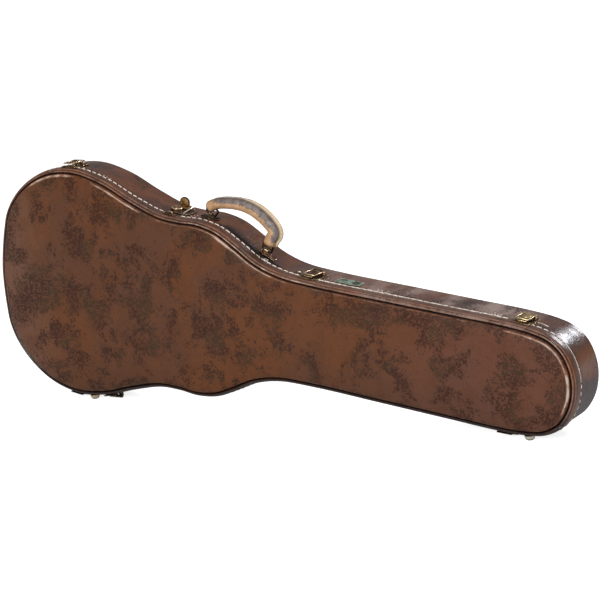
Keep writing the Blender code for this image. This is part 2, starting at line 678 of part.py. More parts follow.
def grip_mesh(origin):
    """Loft of the grip's sections along its middle line."""
    line = [Vector((u, HANDLE_Y / MM, v)) * MM for u, v in GRIP_LINE_MM]
    bm = bmesh.new()
    rows = []
    for i, point in enumerate(line):
        along = (line[min(i + 1, len(line) - 1)] - line[max(i - 1, 0)]).normalized()
        out = Vector((-along.z, 0.0, along.x))
        across = Vector((0.0, 1.0, 0.0))
        section = grip_section(GRIP_SIZE_MM[i] * MM, SEAM_MM[i] * MM)
        rows.append([bm.verts.new(point + across * a + out * b - origin) for a, b in section])
    for first, second in zip(rows, rows[1:]):
        for k in range(len(first)):
            bm.faces.new((first[k - 1], first[k], second[k], second[k - 1]))
    bm.faces.new(rows[0])
    bm.faces.new(rows[-1])
    return mesh_from(bm, "handle_grip")


def make_handle(build):
    swing = (SWING_HEAD - SWING_BUTT).normalized()
    out = Vector((-swing.z, 0.0, swing.x))
    origin = (SWING_BUTT + SWING_HEAD) / 2 + Vector((0, HANDLE_Y, 0))
    frame = Matrix.Translation(origin)
    grip = build.add("handle_grip", grip_mesh(origin), "leather", frame)
    for key, centre, low, high, lift in (
        ("butt", SWING_BUTT, 8.6 * MM, 12.4 * MM, 12.0 * MM),
        ("head", SWING_HEAD, 9.5 * MM, 19.2 * MM, 19.0 * MM),
    ):
        centre = centre + Vector((0, HANDLE_Y, 0)) - origin
        corners = [centre - swing * low, centre + swing * low,
                   centre + swing * high + out * lift, centre - swing * high + out * lift]
        loop = wire_curve(f"handle_loop_{key}", rounded_corners(corners, 2.8 * MM, 3), WIRE)
        build.add(f"handle_loop_{key}", loop, "brass", frame)
        tunnel = rod_mesh("tunnel", centre + out * lift - swing * 30 * MM, centre + out * lift + swing * 30 * MM,
                          WIRE + 0.5 * MM, 12)
        build.boolean(grip, build.helper(f"tunnel_{key}", tunnel, build.frame_matrix @ frame))
        make_bracket(build, key, centre + origin, swing)


def make_bracket(build, key, centre, swing):
    """Riveted plate whose saddle holds the loop's lower bar."""
    plate_frame = wall_matrix(centre.x, 1, HANDLE_Y, 17 * MM)
    plate = box_mesh("bracket", (34 * MM, 17 * MM, 1.4 * MM), (0, 0, 0.7 * MM))
    inverse = plate_frame.inverted()
    eye = inverse @ centre
    along = (inverse.to_3x3() @ swing).normalized()
    barrel = rod_mesh("saddle", eye - along * 3 * MM, eye + along * 3 * MM, WIRE + 1.6 * MM, 16)
    stem = box_mesh("stem", (5.6 * MM, 5.6 * MM, eye.z - 0.5 * MM), (eye.x, 0, eye.z / 2 + 0.2 * MM))
    bore = rod_mesh("eye", eye - along * 12 * MM, eye + along * 12 * MM, WIRE + 0.5 * MM, 14)
    joined(build, f"handle_bracket_{key}", plate, [barrel, stem], "brass", plate_frame, [bore])


def make_small_pieces(build):
    label = build.add("label_plate", box_mesh("label_plate", (45 * MM, 21 * MM, 0.8 * MM), (0, 0, 0.4 * MM)),
                      "label", wall_matrix(LABEL_U, 1, 0.5 * MM, 22.5 * MM))
    bevel(label, 0.25 * MM, 1)
    build.turned("strap_stud", ((1.8 * MM, 2.3 * MM), (3.8 * MM, 1.7 * MM), (5.4 * MM, 0.7 * MM), (5.4 * MM, 0.0)),
                 "brass", 14, wall_matrix(STUD_U, 1, -8.0 * MM, 5.5 * MM))


def main():
    clear_scene()
    build = Builder()
    make_shells(build)
    make_interior(build)
    make_hinges(build)
    make_feet(build)
    for key, u in LATCH_U.items():
        make_latch(build, key, u)
    make_lock(build)
    make_handle(build)
    make_small_pieces(build)
    bpy.context.view_layer.update()


if __name__ == "__main__":
    main()
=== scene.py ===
"""Hardshell case for an electric guitar, standing on its hinge side.

The case is laid out in its own plane: u runs from the butt to the head end, v
across it towards the handle, and y through its thickness, lid first. CasePlan
turns that plane into the frame of the part. Each sub-assembly is a class that
builds its own meshes and dresses them. Sections, and the sizes given to slab,
lathe, rivet and rod, are in millimetres. Everything else is in metres.
"""

import json
import logging
import math
import random
from collections.abc import Callable, Sequence
from dataclasses import dataclass, field
from enum import Enum

import bmesh
import bpy
from mathutils import Matrix, Vector

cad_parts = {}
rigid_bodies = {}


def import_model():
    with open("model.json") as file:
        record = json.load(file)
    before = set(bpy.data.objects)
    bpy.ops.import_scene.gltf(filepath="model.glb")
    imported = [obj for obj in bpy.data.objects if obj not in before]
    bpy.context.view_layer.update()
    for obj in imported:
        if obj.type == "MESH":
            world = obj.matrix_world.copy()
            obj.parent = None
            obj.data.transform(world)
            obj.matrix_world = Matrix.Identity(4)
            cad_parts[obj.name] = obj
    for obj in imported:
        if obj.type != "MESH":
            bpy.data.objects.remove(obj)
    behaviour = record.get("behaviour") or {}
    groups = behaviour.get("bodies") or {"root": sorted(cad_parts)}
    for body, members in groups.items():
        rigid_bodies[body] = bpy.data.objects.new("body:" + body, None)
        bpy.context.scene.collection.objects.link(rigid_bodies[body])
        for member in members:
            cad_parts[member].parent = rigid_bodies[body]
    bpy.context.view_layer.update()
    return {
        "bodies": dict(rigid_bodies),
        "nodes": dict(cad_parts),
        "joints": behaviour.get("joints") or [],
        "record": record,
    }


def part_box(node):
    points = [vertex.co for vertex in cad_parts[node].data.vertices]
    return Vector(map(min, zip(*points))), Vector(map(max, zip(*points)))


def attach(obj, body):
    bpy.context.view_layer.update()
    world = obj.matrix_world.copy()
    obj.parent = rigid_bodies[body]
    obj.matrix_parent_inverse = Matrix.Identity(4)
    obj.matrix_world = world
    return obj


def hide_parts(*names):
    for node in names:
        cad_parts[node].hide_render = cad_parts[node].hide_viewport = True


LOG = logging.getLogger("guitar_case")
MM = 0.001

Colour = tuple[float, float, float]
Triple = Sequence[float]
Section = Sequence[tuple[float, float]]
Mesh = bmesh.types.BMesh
Vert = bmesh.types.BMVert
Edge = bmesh.types.BMEdge
Socket = bpy.types.NodeSocket
Builder = Callable[[Mesh], object]

THROUGH = Vector((0.0, 1.0, 0.0))
QUARTER = math.pi / 2


class Side(Enum):
    """The long side of the case that a fitting sits on."""

    HANDLE = 1
    HINGE = -1


class Body(Enum):
    """The moving bodies of the case."""

    BASE = "base_shell"
    LID = "lid_shell"
    BUTT_LEVER = "butt_latch_lever"
    NECK_LEVER = "neck_latch_lever"
    HEAD_LEVER = "head_latch_lever"
    HANDLE = "handle"
    FLAP = "flap"
    PLUG = "key_plug"
    BOX_LID = "accessory_cover"


class Slot(Enum):
    """The finishes that the part's record names."""

    COVERING = "brown_covering"
    LINING = "plush_lining"
    BRASS = "aged_brass"
    LEATHER = "tan_leather"
    EDGE = "black_edge"
    LABEL = "pale_label"


# --- the plan

def moved_mm(x: float, y: float, z: float) -> Matrix:
    """Move by so many millimetres."""
    return Matrix.Translation(Vector((x, y, z)) * MM)


def axes_frame(x: Vector, y: Vector, z: Vector, origin: Vector) -> Matrix:
    """Frame with these three axes at this origin."""
    frame = Matrix((x, y, z)).transposed().to_4x4()
    frame.translation = origin
    return frame


@dataclass(frozen=True)
class RimPoint:
    """One point of the outline.

    Args:
        place: position (u, v) in metres.
        normal: unit vector out of the case, in the case's plane.
        travel: distance along the outline from the butt, in metres.
    """

    place: Vector
    normal: Vector
    travel: float

    @property
    def side(self) -> Side:
        """The long side that the point is nearer to."""
        return Side.HANDLE if self.place.y >= 0.0 else Side.HINGE


Spot = tuple[Vector, Vector, Vector, RimPoint]
Amount = Callable[[RimPoint, float, float], float]


@dataclass
class CasePlan:
    """Outline of the case and the way its plane stands in the part's frame.

    Args:
        stations_mm: half the outline, as (place along the case, half width).
        lean: how far the case leans, in radians.
        butt_place: where the middle of the butt stands.
        steps: points of the outline from one station to the next.
        parting: depth of the parting line.
        band_out: how far the sewn band stands out from the walls.
        gap: air left under a fitting.
        reach: how far off a bulge of the wall can lie under a fitting.
    """

    stations_mm: Section = (
        (0.0, 0.0), (2.4, 36.0), (7.0, 68.0), (14.0, 98.0), (30.0, 127.0),
        (60.0, 157.3), (105.0, 182.7), (160.0, 192.6), (220.0, 183.6),
        (280.0, 162.0), (335.0, 145.6), (375.0, 143.0), (412.0, 144.4),
        (450.0, 137.5), (487.0, 119.8), (525.0, 99.6), (570.0, 87.2),
        (640.0, 83.2), (750.0, 83.0), (870.0, 83.0), (965.0, 82.8),
        (1008.0, 79.8), (1036.0, 73.2), (1058.0, 58.5), (1071.0, 39.5),
        (1078.0, 19.5), (1080.0, 0.0),
    )
    lean: float = math.radians(7.7)
    butt_place: Vector = field(default_factory=lambda: Vector((-0.534261, 0.0, 0.22366)))
    steps: int = 12
    parting: float = -18.8 * MM
    band_out: float = 2.5 * MM
    gap: float = 0.3 * MM
    reach: float = 0.08

    def __post_init__(self) -> None:
        """Works out the outline once."""
        self.matrix = Matrix.Translation(self.butt_place) @ Matrix.Rotation(self.lean, 4, "Y")
        self.rim = self._rim(self._smooth_line())

    def _smooth_line(self) -> list[Vector]:
        """Smooth closed line through the stations, butt first, hinge side next.

        Returns:
            Its points, as (u, v).
        """
        low = [Vector((u, -v)) * MM for u, v in self.stations_mm]
        high = [Vector((u, v)) * MM for u, v in reversed(self.stations_mm[1:-1])]
        knots = low + high
        line: list[Vector] = []
        for i in range(len(knots)):
            a, b, c, d = (knots[(i + k) % len(knots)] for k in (-1, 0, 1, 2))
            k1 = (b - a).length ** 0.5
            k2 = k1 + (c - b).length ** 0.5
            k3 = k2 + (d - c).length ** 0.5
            for step in range(self.steps):
                s = k1 + (k2 - k1) * step / self.steps
                a1 = a.lerp(b, s / k1)
                a2 = b.lerp(c, (s - k1) / (k2 - k1))
                a3 = c.lerp(d, (s - k2) / (k3 - k2))
                b1 = a1.lerp(a2, s / k2)
                b2 = a2.lerp(a3, (s - k1) / (k3 - k1))
                line.append(b1.lerp(b2, (s - k1) / (k2 - k1)))
        return line

    def _rim(self, line: Sequence[Vector]) -> list[RimPoint]:
        """Adds normals, softened a little, and travelled distance.

        Args:
            line: the outline's points.

        Returns:
            The same points with all that is known of them.
        """
        found: list[RimPoint] = []
        travel = 0.0
        for i, place in enumerate(line):
            along = (line[(i + 2) % len(line)] - line[i - 2]).normalized()
            found.append(RimPoint(place, Vector((along.y, -along.x)), travel))
            travel += (line[(i + 1) % len(line)] - place).length
        return found

    def world(self, u: float, y: float, v: float) -> Vector:
        """A point of the case's plane, in the part's frame."""
        return self.matrix @ Vector((u, y, v))

    def ring(self, inset: float, y: float) -> list[Vector]:
        """The outline moved inwards by inset, at depth y."""
        flat = [p.place - p.normal * inset for p in self.rim]
        return [self.world(spot.x, y, spot.y) for spot in flat]

    def at(self, u: float, side: Side) -> RimPoint:
        """The outline's point nearest to u on one long side."""
        points = (p for p in self.rim if p.place.y * side.value >= 0.0)
        return min(points, key=lambda p: abs(p.place.x - u))

    def seat(self, u: float, side: Side, y: float, half_width: float, lift: float = 0.0) -> Matrix:
        """Frame on the outer wall: X along it, Y through the case, Z outwards.

        Args:
            u: place along the case, in metres.
            side: long side that it sits on.
            y: depth of the frame's origin.
            half_width: half the length of a flat plate that has to clear the wall.
            lift: height of what lies between the wall and the plate.

        Returns:
            The frame's matrix in the part's frame.
        """
        base = self.at(u, side)
        along = Vector((-base.normal.y, base.normal.x))
        steps = [p.place - base.place for p in self.rim]
        under = [s for s in steps if abs(s.dot(along)) <= half_width and s.length < self.reach]
        stand = max((s.dot(base.normal) for s in under), default=0.0) + lift + self.gap
        out = Vector((base.normal.x, 0.0, base.normal.y))
        origin = Vector((base.place.x, y, base.place.y)) + out * stand
        return self.matrix @ axes_frame(THROUGH.cross(out), THROUGH, out, origin)

    def travelled(self, inset: float, y: float, pitch: float, side: Side | None = None,
                  stretch: tuple[float, float] = (-1.0, 2.0)) -> list[Spot]:
        """Evenly spaced places along the outline.

        Args:
            inset: how far inside the outline they lie.
            y: their depth.
            pitch: their spacing.
            side: only this long side, if given.
            stretch: only this stretch of the case.

        Returns:
            Place, direction along the outline and direction outwards, each in
            the part's frame, and the rim point before it.
        """
        found = []
        goal = 0.0
        turn = self.matrix.to_3x3()
        for here, ahead in zip(self.rim, self.rim[1:] + self.rim[:1]):
            step = (ahead.place - here.place).length
            while here.travel <= goal < here.travel + step:
                share = (goal - here.travel) / step
                flat = here.place.lerp(ahead.place, share)
                normal = here.normal.lerp(ahead.normal, share).normalized()
                if (side is None or here.side is side) and stretch[0] <= flat.x <= stretch[1]:
                    place = self.world(flat.x - normal.x * inset, y, flat.y - normal.y * inset)
                    run = turn @ Vector((-normal.y, 0.0, normal.x))
                    out = turn @ Vector((normal.x, 0.0, normal.y))
                    found.append((place, run, out, here))
                goal += pitch
        return found

    @property
    def perimeter(self) -> float:
        """Length of the whole outline."""
        return self.rim[-1].travel + (self.rim[0].place - self.rim[-1].place).length


# --- mesh tools

def next_ring(bm: Mesh, edges: Sequence[Edge]) -> tuple[list[Vert], list[Edge]]:
    """Draws a ring of edges out to a new ring.

    Args:
        bm: mesh to add to.
        edges: the ring's edges.

    Returns:
        The new ring's vertices and edges.
    """
    made = bmesh.ops.extrude_edge_only(bm, edges=edges)["geom"]
    ring = [g for g in made if isinstance(g, Vert)]
    fresh = set(ring)
    return ring, [g for g in made if isinstance(g, Edge) and set(g.verts) <= fresh]


class RimSweep:
    """Grows a mesh ring by ring along the outline of the case."""

    def __init__(self, plan: CasePlan, wear: Amount | None = None, soil: Amount | None = None,
                 dent: Callable[[RimPoint, float], float] | None = None,
                 ribbed: Amount | None = None) -> None:
        """Starts an empty mesh.

        Args:
            plan: outline to follow.
            wear: abrasion and painted highlight at a rim point, inset and depth, from 0 to 1.
            soil: dirt and painted shade at the same.
            dent: how far a rim point at a depth lies further in.
            ribbed: how clearly cross ribs show at a rim point, inset and depth.
        """
        self.plan = plan
        self.dent = dent
        self.bm = bmesh.new()
        self.order = self.bm.verts.layers.int.new("order")
        notes = {"wear": wear, "soil": soil}
        if ribbed:
            notes |= {"ribbed": ribbed, "travel": lambda point, inset, y: point.travel / MM}
        for name in notes:
            self.bm.verts.layers.float.new(name)
        known = self.bm.verts.layers.float
        self.layers = [(known.get(name), amount) for name, amount in notes.items() if amount]
        self.rings: list[list[Edge]] = []

    def _place(self, verts: Sequence[Vert], inset: float, y: float) -> None:
        """Moves one ring to its inset and depth and notes its wear.

        Args:
            verts: the ring's vertices.
            inset: how far inside the outline it lies.
            y: its depth.
        """
        line = self.plan.ring(inset, y)
        inwards = self.plan.matrix.to_3x3()
        for vert in verts:
            vert.co = line[vert[self.order]]
            point = self.plan.rim[vert[self.order]]
            if self.dent:
                out = inwards @ Vector((point.normal.x, 0.0, point.normal.y))
                vert.co -= out * self.dent(point, y)
            for layer, amount in self.layers:
                vert[layer] = amount(point, inset, y)

    def grow(self, inset: float, y: float) -> None:
        """Adds the next ring, joined to the one before.

        Args:
            inset: how far inside the outline it lies.
            y: its depth.
        """
        if self.rings:
            verts, edges = next_ring(self.bm, self.rings[-1])
        else:
            count = len(self.plan.rim)
            made = bmesh.ops.create_circle(self.bm, cap_ends=False, segments=count, radius=1.0)
            verts, edges = made["verts"], list(self.bm.edges)
            for i, vert in enumerate(verts):
                vert[self.order] = i
        self._place(verts, inset, y)
        self.rings.append(edges)

    def run(self, section: Section, side: float = 1.0) -> "RimSweep":
        """Grows one ring for each point of a section.

        Args:
            section: pairs of inset and depth, in millimetres.
            side: -1 to mirror the depths.

        Returns:
            The sweep itself.
        """
        for inset, y in section:
            self.grow(inset * MM, y * side * MM)
        return self

    def closed(self) -> Mesh:
        """Joins the last ring to the first and returns the mesh."""
        bmesh.ops.bridge_loops(self.bm, edges=self.rings[0] + self.rings[-1])
        return self.finished()

    def finished(self) -> Mesh:
        """Turns the faces outwards and returns the mesh."""
        bmesh.ops.recalc_face_normals(self.bm, faces=self.bm.faces)
        return self.bm

    def cap(self, ring: int, height: Callable[[float], float], spacing: float = 24.0 * MM) -> None:
        """Closes one ring with a gridded cap.

        Args:
            ring: index of the ring.
            height: depth of the cap at a distance from the outline.
            spacing: distance between the grid's lines.
        """
        made = bmesh.ops.edgeloop_fill(self.bm, edges=self.rings[ring])
        faces = list(made["faces"])
        border = {v for f in faces for v in f.verts}
        back = self.plan.matrix.inverted()
        turn = self.plan.matrix.to_3x3()
        spots = [back @ v.co for v in border]
        cuts = []
        for axis, normal in ((0, Vector((1, 0, 0))), (2, Vector((0, 0, 1)))):
            low, high = min(s[axis] for s in spots), max(s[axis] for s in spots)
            count = int((high - low) / spacing)
            places = (low + (high - low) * (k + 1) / (count + 1) for k in range(count))
            cuts += [(normal * place, normal) for place in places]
        for point, normal in cuts:
            edges = {e for f in faces for e in f.edges}
            verts = {v for f in faces for v in f.verts}
            made = bmesh.ops.bisect_plane(self.bm, geom=faces + list(edges) + list(verts), dist=1e-6,
                                          plane_co=self.plan.matrix @ point, plane_no=turn @ normal)
            faces = [g for g in made["geom"] if isinstance(g, bmesh.types.BMFace)]
        rim = [p.place for p in self.plan.rim[::4]]
        for vert in {v for f in faces for v in f.verts} - border:
            if any(f not in faces for f in vert.link_faces):
                continue
            spot = back @ vert.co
            flat = Vector((spot.x, spot.z))
            spot.y = height(min((flat - p).length for p in rim))
            vert.co = self.plan.matrix @ spot


def local_mesh(build: Builder, place: Matrix) -> Mesh:
    """Builds a mesh near the origin and moves it to its place.

    Args:
        build: adds the shape to an empty mesh, which has layers to note wear in.
        place: where the mesh goes.

    Returns:
        The mesh in its place.
    """
    bm = bmesh.new()
    bm.verts.layers.int.new("corner")
    for name in ("edge", "soil"):
        bm.verts.layers.float.new(name)
    build(bm)
    bmesh.ops.transform(bm, matrix=place, verts=bm.verts)
    return bm


def soften(bm: Mesh, edges: Sequence[Edge], radius: float, steps: int, **settings: bool) -> None:
    """Rounds edges by a radius in millimetres, with this many segments."""
    bmesh.ops.bevel(bm, geom=edges, offset=radius * MM, offset_type="OFFSET", affect="EDGES",
                    segments=steps, profile=0.5, material=-1, **settings)


def slab(bm: Mesh, size: Triple, centre: Triple, corner: float = 0.0, rim: float = 0.0,
         steps: int = 4) -> list[Vert]:
    """Flat plate in millimetres, with rounded corners and a softened rim.

    Args:
        bm: mesh to add to.
        size: length, width and thickness.
        centre: its middle.
        corner: radius of its four corners, seen from above.
        rim: radius of the edges all round its faces.
        steps: segments in each corner.

    Returns:
        The plate's vertices.
    """
    steep, level = 0.9, 0.99
    known = set(bm.verts)
    made = bmesh.ops.create_cube(bm, size=1.0)
    bmesh.ops.scale(bm, vec=Vector(size) * MM, verts=made["verts"])
    bmesh.ops.translate(bm, vec=Vector(centre) * MM, verts=made["verts"])
    if corner:
        own = [e for e in bm.edges if not set(e.verts) & known]
        posts = [e for e in own if abs((e.verts[0].co - e.verts[1].co).normalized().z) > steep]
        soften(bm, posts, corner, steps)
    if rim:
        own = [f for f in bm.faces if not set(f.verts) & known]
        soften(bm, list({e for f in own if abs(f.normal.z) > steep for e in f.edges}), rim, 2)
        own = [f for f in bm.faces if not set(f.verts) & known]
        flat = [f for f in own if abs(f.normal.z) > level and len(f.verts) > 3]
        flat = sorted(flat, key=lambda f: f.calc_area(), reverse=True)[:2]
        border = min(0.9, 0.18 * min(size[0], size[1])) * MM
        bmesh.ops.inset_individual(bm, faces=flat, thickness=border, use_even_offset=True)
    return [v for v in bm.verts if v not in known]


def mark(bm: Mesh, layer_name: str, verts: Sequence[Vert], amount: float = 1.0) -> None:
    """Notes how rubbed, or how grimy or darkened by painted shade, the metal is at these vertices.

    Args:
        bm: mesh that they belong to.
        layer_name: "edge" or "soil".
        verts: the vertices.
        amount: 0 for not at all, 1 for fully.
    """
    layer = bm.verts.layers.float.get(layer_name)
    for vert in verts:
        vert[layer] = amount


def rub_edges(bm: Mesh, start: float = 24.0, span: float = 16.0) -> None:
    """Notes the outward edges of metalwork, where the patina is rubbed off.

    Args:
        bm: mesh of the metalwork.
        start: angle in degrees from which an edge is rubbed.
        span: degrees beyond it at which the rubbing is full.
    """
    layer = bm.verts.layers.float.get("edge") or bm.verts.layers.float.new("edge")
    for vert in bm.verts:
        angles = (edge.calc_face_angle_signed(0.0) for edge in vert.link_edges)
        share = (math.degrees(max(angles, default=0.0)) - start) / span
        vert[layer] = max(vert[layer], min(max(share, 0.0), 1.0))


def lathe(bm: Mesh, section: Section, centre: Triple = (0, 0, 0), steps: int = 20) -> list[Vert]:
    """Turned solid about local Z.

    Args:
        bm: mesh to add to.
        section: pairs of radius and height, in millimetres.
        centre: where it stands.
        steps: segments all round.

    Returns:
        The solid's vertices.
    """
    known = set(bm.verts)
    verts = [bm.verts.new(Vector((r, 0.0, z)) * MM) for r, z in section]
    edges = [bm.edges.new(pair) for pair in zip(verts, verts[1:])]
    bmesh.ops.spin(bm, geom=verts + edges, cent=(0, 0, 0), axis=(0, 0, 1), angle=math.tau,
                   steps=steps, use_merge=True)
    fresh = [v for v in bm.verts if v not in known]
    bmesh.ops.remove_doubles(bm, verts=fresh, dist=1e-7)
    fresh = [v for v in bm.verts if v not in known]
    bmesh.ops.recalc_face_normals(bm, faces=list({f for v in fresh for f in v.link_faces}))
    bmesh.ops.translate(bm, vec=Vector(centre) * MM, verts=fresh)
    return fresh


def sweep(bm: Mesh, path: Sequence[Vector], radii: float | Sequence[float], segments: int = 8,
          closed: bool = False) -> list[Vert]:
    """Round rod along a path.

    Args:
        bm: mesh to add to.
        path: the points that its middle follows, in metres.
        radii: one radius, or one for each point.
        segments: sides of its section.
        closed: joins its end to its start.

    Returns:
        The rod's vertices.
    """
    upright = 0.9
    sizes = [radii] * len(path) if isinstance(radii, float) else list(radii)
    index = bm.verts.layers.int.get("corner") or bm.verts.layers.int.new("corner")
    known = set(bm.verts)
    made = bmesh.ops.create_circle(bm, cap_ends=False, segments=segments, radius=1.0)
    ring = list(made["verts"])
    edges = list({e for v in ring for e in v.link_edges})
    first = list(edges)
    for i, vert in enumerate(ring):
        vert[index] = i
    across = None
    for k, point in enumerate(path):
        ahead = path[(k + 1) % len(path)] if closed or k + 1 < len(path) else point
        behind = path[k - 1] if closed or k else point
        along = (ahead - behind).normalized()
        if across is None:
            steep = abs(along.y) > upright
            across = (along.orthogonal() if steep else along.cross(THROUGH)).normalized()
        across = (across - along * across.dot(along)).normalized()
        other = along.cross(across)
        if k:
            ring, edges = next_ring(bm, edges)
        for vert in ring:
            angle = math.tau * vert[index] / segments
            reach = (math.cos(angle) * sizes[k], math.sin(angle) * sizes[k])
            vert.co = point + across * reach[0] + other * reach[1]
    if closed:
        bmesh.ops.bridge_loops(bm, edges=first + edges)
    else:
        bmesh.ops.edgeloop_fill(bm, edges=first)
        bmesh.ops.edgeloop_fill(bm, edges=edges)
    fresh = [v for v in bm.verts if v not in known]
    bmesh.ops.recalc_face_normals(bm, faces=list({f for v in fresh for f in v.link_faces}))
    return fresh


def smooth_path(points: Sequence[Vector], steps: int = 4) -> list[Vector]:
    """Smooth line through points.

    Args:
        points: what it passes through.
        steps: pieces of the line between two of them.

    Returns:
        The line's points.
    """
    last = len(points) - 1
    found: list[Vector] = []
    for i in range(last):
        a, b, c, d = (points[min(max(i + k, 0), last)] for k in (-1, 0, 1, 2))
        for step in range(steps):
            t = step / steps
            bend = (2 * a - 5 * b + 4 * c - d) * t * t
            found.append(0.5 * ((2 * b) + (c - a) * t + bend + (3 * b - a - 3 * c + d) * t ** 3))
    return found + [points[-1]]


def rounded_loop(corners: Sequence[Vector], radius: float, steps: int = 5) -> list[Vector]:
    """Closed line with a short arc at each corner.

    Args:
        corners: the corners.
        radius: radius of the arcs.
        steps: pieces of each arc.

    Returns:
        The line's points.
    """
    points: list[Vector] = []
    for i, corner in enumerate(corners):
        before = (corners[i - 1] - corner).normalized()
        after = (corners[(i + 1) % len(corners)] - corner).normalized()
        half = before.angle(after) / 2
        start = corner + before * radius / math.tan(half)
        end = corner + after * radius / math.tan(half)
        middle = corner + (before + after).normalized() * radius / math.sin(half)
        turn = math.pi - 2 * half
        for k in range(steps + 1):
            angle = turn * k / steps
            leave, reach = (math.sin(a) / math.sin(turn) for a in (turn - angle, angle))
            points.append(middle + (start - middle) * leave + (end - middle) * reach)
    return points


def ease(share: float) -> float:
    """Softens both ends of a share from 0 to 1."""
    return share * share * (3 - 2 * share)


def bell(value: float, low: float, high: float, soft: float) -> float:
    """1 between low and high, falling smoothly to 0 over soft on both sides."""
    near = min(value - low, high - value)
    return ease(min(max(near / soft + 1.0, 0.0), 1.0))


@dataclass
class Workshop:
    """Turns finished meshes into pieces that ride on their bodies.

    Args:
        finishes: materials by name.
        made: number of pieces made so far.
    """

    finishes: dict[str, bpy.types.Material]
    made: int = 0

    def piece(self, name: str, bm: Mesh, body: Body, slot: Slot, finish: str,
              replaces: Sequence[str] = (), sharp: float = 40.0, padding: float | None = None) -> None:
        """Makes one piece.

        Args:
            name: the piece's name.
            bm: its mesh, already in its place.
            body: the body that it rides on.
            slot: the record's finish that it stands for; only brass has its edges noted as rubbed.
            finish: the name of its material.
            replaces: nodes of the part that it stands for.
            sharp: angle in degrees above which an edge stays crisp.
            padding: fullness from 0 to 1 where it is a padded piece; not used.
        """
        if slot is Slot.BRASS:
            rub_edges(bm)
        mesh = bpy.data.meshes.new(name)
        bm.to_mesh(mesh)
        bm.free()
        mesh.shade_smooth()
        mesh.set_sharp_from_angle(angle=math.radians(sharp))
        mesh.materials.append(self.finishes[finish])
        obj = bpy.data.objects.new(name, mesh)
        bpy.context.scene.collection.objects.link(obj)
        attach(obj, body.value)
        if replaces:
            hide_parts(*replaces)
        self.made += 1
        LOG.info("%s: %d faces on %s", name, len(mesh.polygons), body.value)

    def metal(self, name: str, build: Builder, place: Matrix, body: Body, finish: str, node: str) -> None:
        """Makes one metal piece that stands for one node, from a mesh built near the origin."""
        self.piece(name, local_mesh(build, place), body, Slot.BRASS, finish, [node])


@dataclass
class Assembly:
    """A sub-assembly of the case.

    Args:
        plan: outline of the case.
        shop: makes its pieces.
    """

    plan: CasePlan
    shop: Workshop

    def stand(self, bm: Mesh) -> None:
        """Moves a mesh from the case's plane to the part's frame."""
        bmesh.ops.transform(bm, matrix=self.plan.matrix, verts=bm.verts)


# --- node helpers

class Graph:
    """Lays nodes into one tree."""

    def __init__(self, tree: bpy.types.NodeTree) -> None:
        """Keeps the tree to work on."""
        self.tree = tree

    def feed(self, socket: Socket, value: object) -> None:
        """Gives a socket its value.

        Args:
            socket: the socket.
            value: a socket to link, or a plain value. A colour is made opaque.
        """
        if isinstance(value, Socket):
            self.tree.links.new(value, socket)
        elif isinstance(value, tuple) and socket.type == "RGBA":
            socket.default_value = (*value, 1.0)
        else:
            socket.default_value = value

    def add(self, kind: str, inputs: dict[str | int, object] | None = None, **settings: object) -> bpy.types.Node:
        """Adds one node.

        Args:
            kind: its type, without the ShaderNode prefix.
            inputs: what each input is given, by its name or index.
            settings: properties of the node.

        Returns:
            The node.
        """
        node = self.tree.nodes.new("ShaderNode" + kind)
        for key, value in settings.items():
            setattr(node, key, value)
        for key, value in (inputs or {}).items():
            self.feed(node.inputs[key], value)
        return node

    def math(self, operation: str, a: object, b: object = 0.0, c: object = 0.0) -> Socket:
        """One arithmetic step."""
        return self.add("Math", {0: a, 1: b, 2: c}, operation=operation).outputs[0]

    def times(self, a: object, b: object) -> Socket:
        """Product of two values."""
        return self.math("MULTIPLY", a, b)

    def line(self, value: object, slope: object, start: object) -> Socket:
        """The value times a slope, plus a start."""
        return self.math("MULTIPLY_ADD", value, slope, start)

    def span(self, value: Socket, low: float, high: float) -> Socket:
        """Smoothly maps low to high to 0 to 1, and holds outside."""
        inputs = {"Value": value, "From Min": low, "From Max": high}
        return self.add("MapRange", inputs, interpolation_type="SMOOTHSTEP").outputs["Result"]

    def mix(self, share: object, a: object, b: object) -> Socket:
        """Mixes two colours, the second by its share."""
        return self.add("Mix", {0: share, 6: a, 7: b}, data_type="RGBA").outputs[2]

    def tint(self, colour: object, share: Socket, strength: object, towards: object) -> Socket:
        """Moves a colour towards another, by a share times a strength."""
        return self.mix(self.times(share, strength), colour, towards)

    def noise(self, place: Socket, scale: object, detail: float = 3.0, rough: float = 0.55,
              warp: float = 0.0) -> Socket:
        """Cloudy pattern from 0 to 1."""
        inputs = {"Vector": place, "Scale": scale, "Detail": detail, "Roughness": rough, "Distortion": warp}
        return self.add("TexNoise", inputs).outputs["Fac"]

    def stretched(self, place: Socket, scale: Colour) -> Socket:
        """A place scaled apart along each axis."""
        return self.add("Mapping", {"Vector": place, "Scale": scale}).outputs[0]

    def attribute(self, name: str) -> Socket:
        """A value that the piece's own points carry."""
        return self.add("Attribute", attribute_name=name).outputs["Fac"]

    def bump(self, height: Socket, distance: float, strength: float = 1.0, before: Socket | None = None) -> Socket:
        """Normal from a height, of which 1 stands for a distance, laid on the one before."""
        inputs = {"Height": height, "Distance": distance, "Strength": strength}
        return self.add("Bump", inputs | ({"Normal": before} if before else {})).outputs["Normal"]

    def group(self, tree: bpy.types.NodeTree, inputs: dict[str, object]) -> bpy.types.NodeOutputs:
        """Places a node group with its own values.

        Args:
            tree: the group.
            inputs: what each input is given, by its name.

        Returns:
            Its outputs.
        """
        node = self.tree.nodes.new("ShaderNodeGroup")
        node.node_tree = tree
        for key, value in inputs.items():
            self.feed(node.inputs[key], value)
        return node.outputs


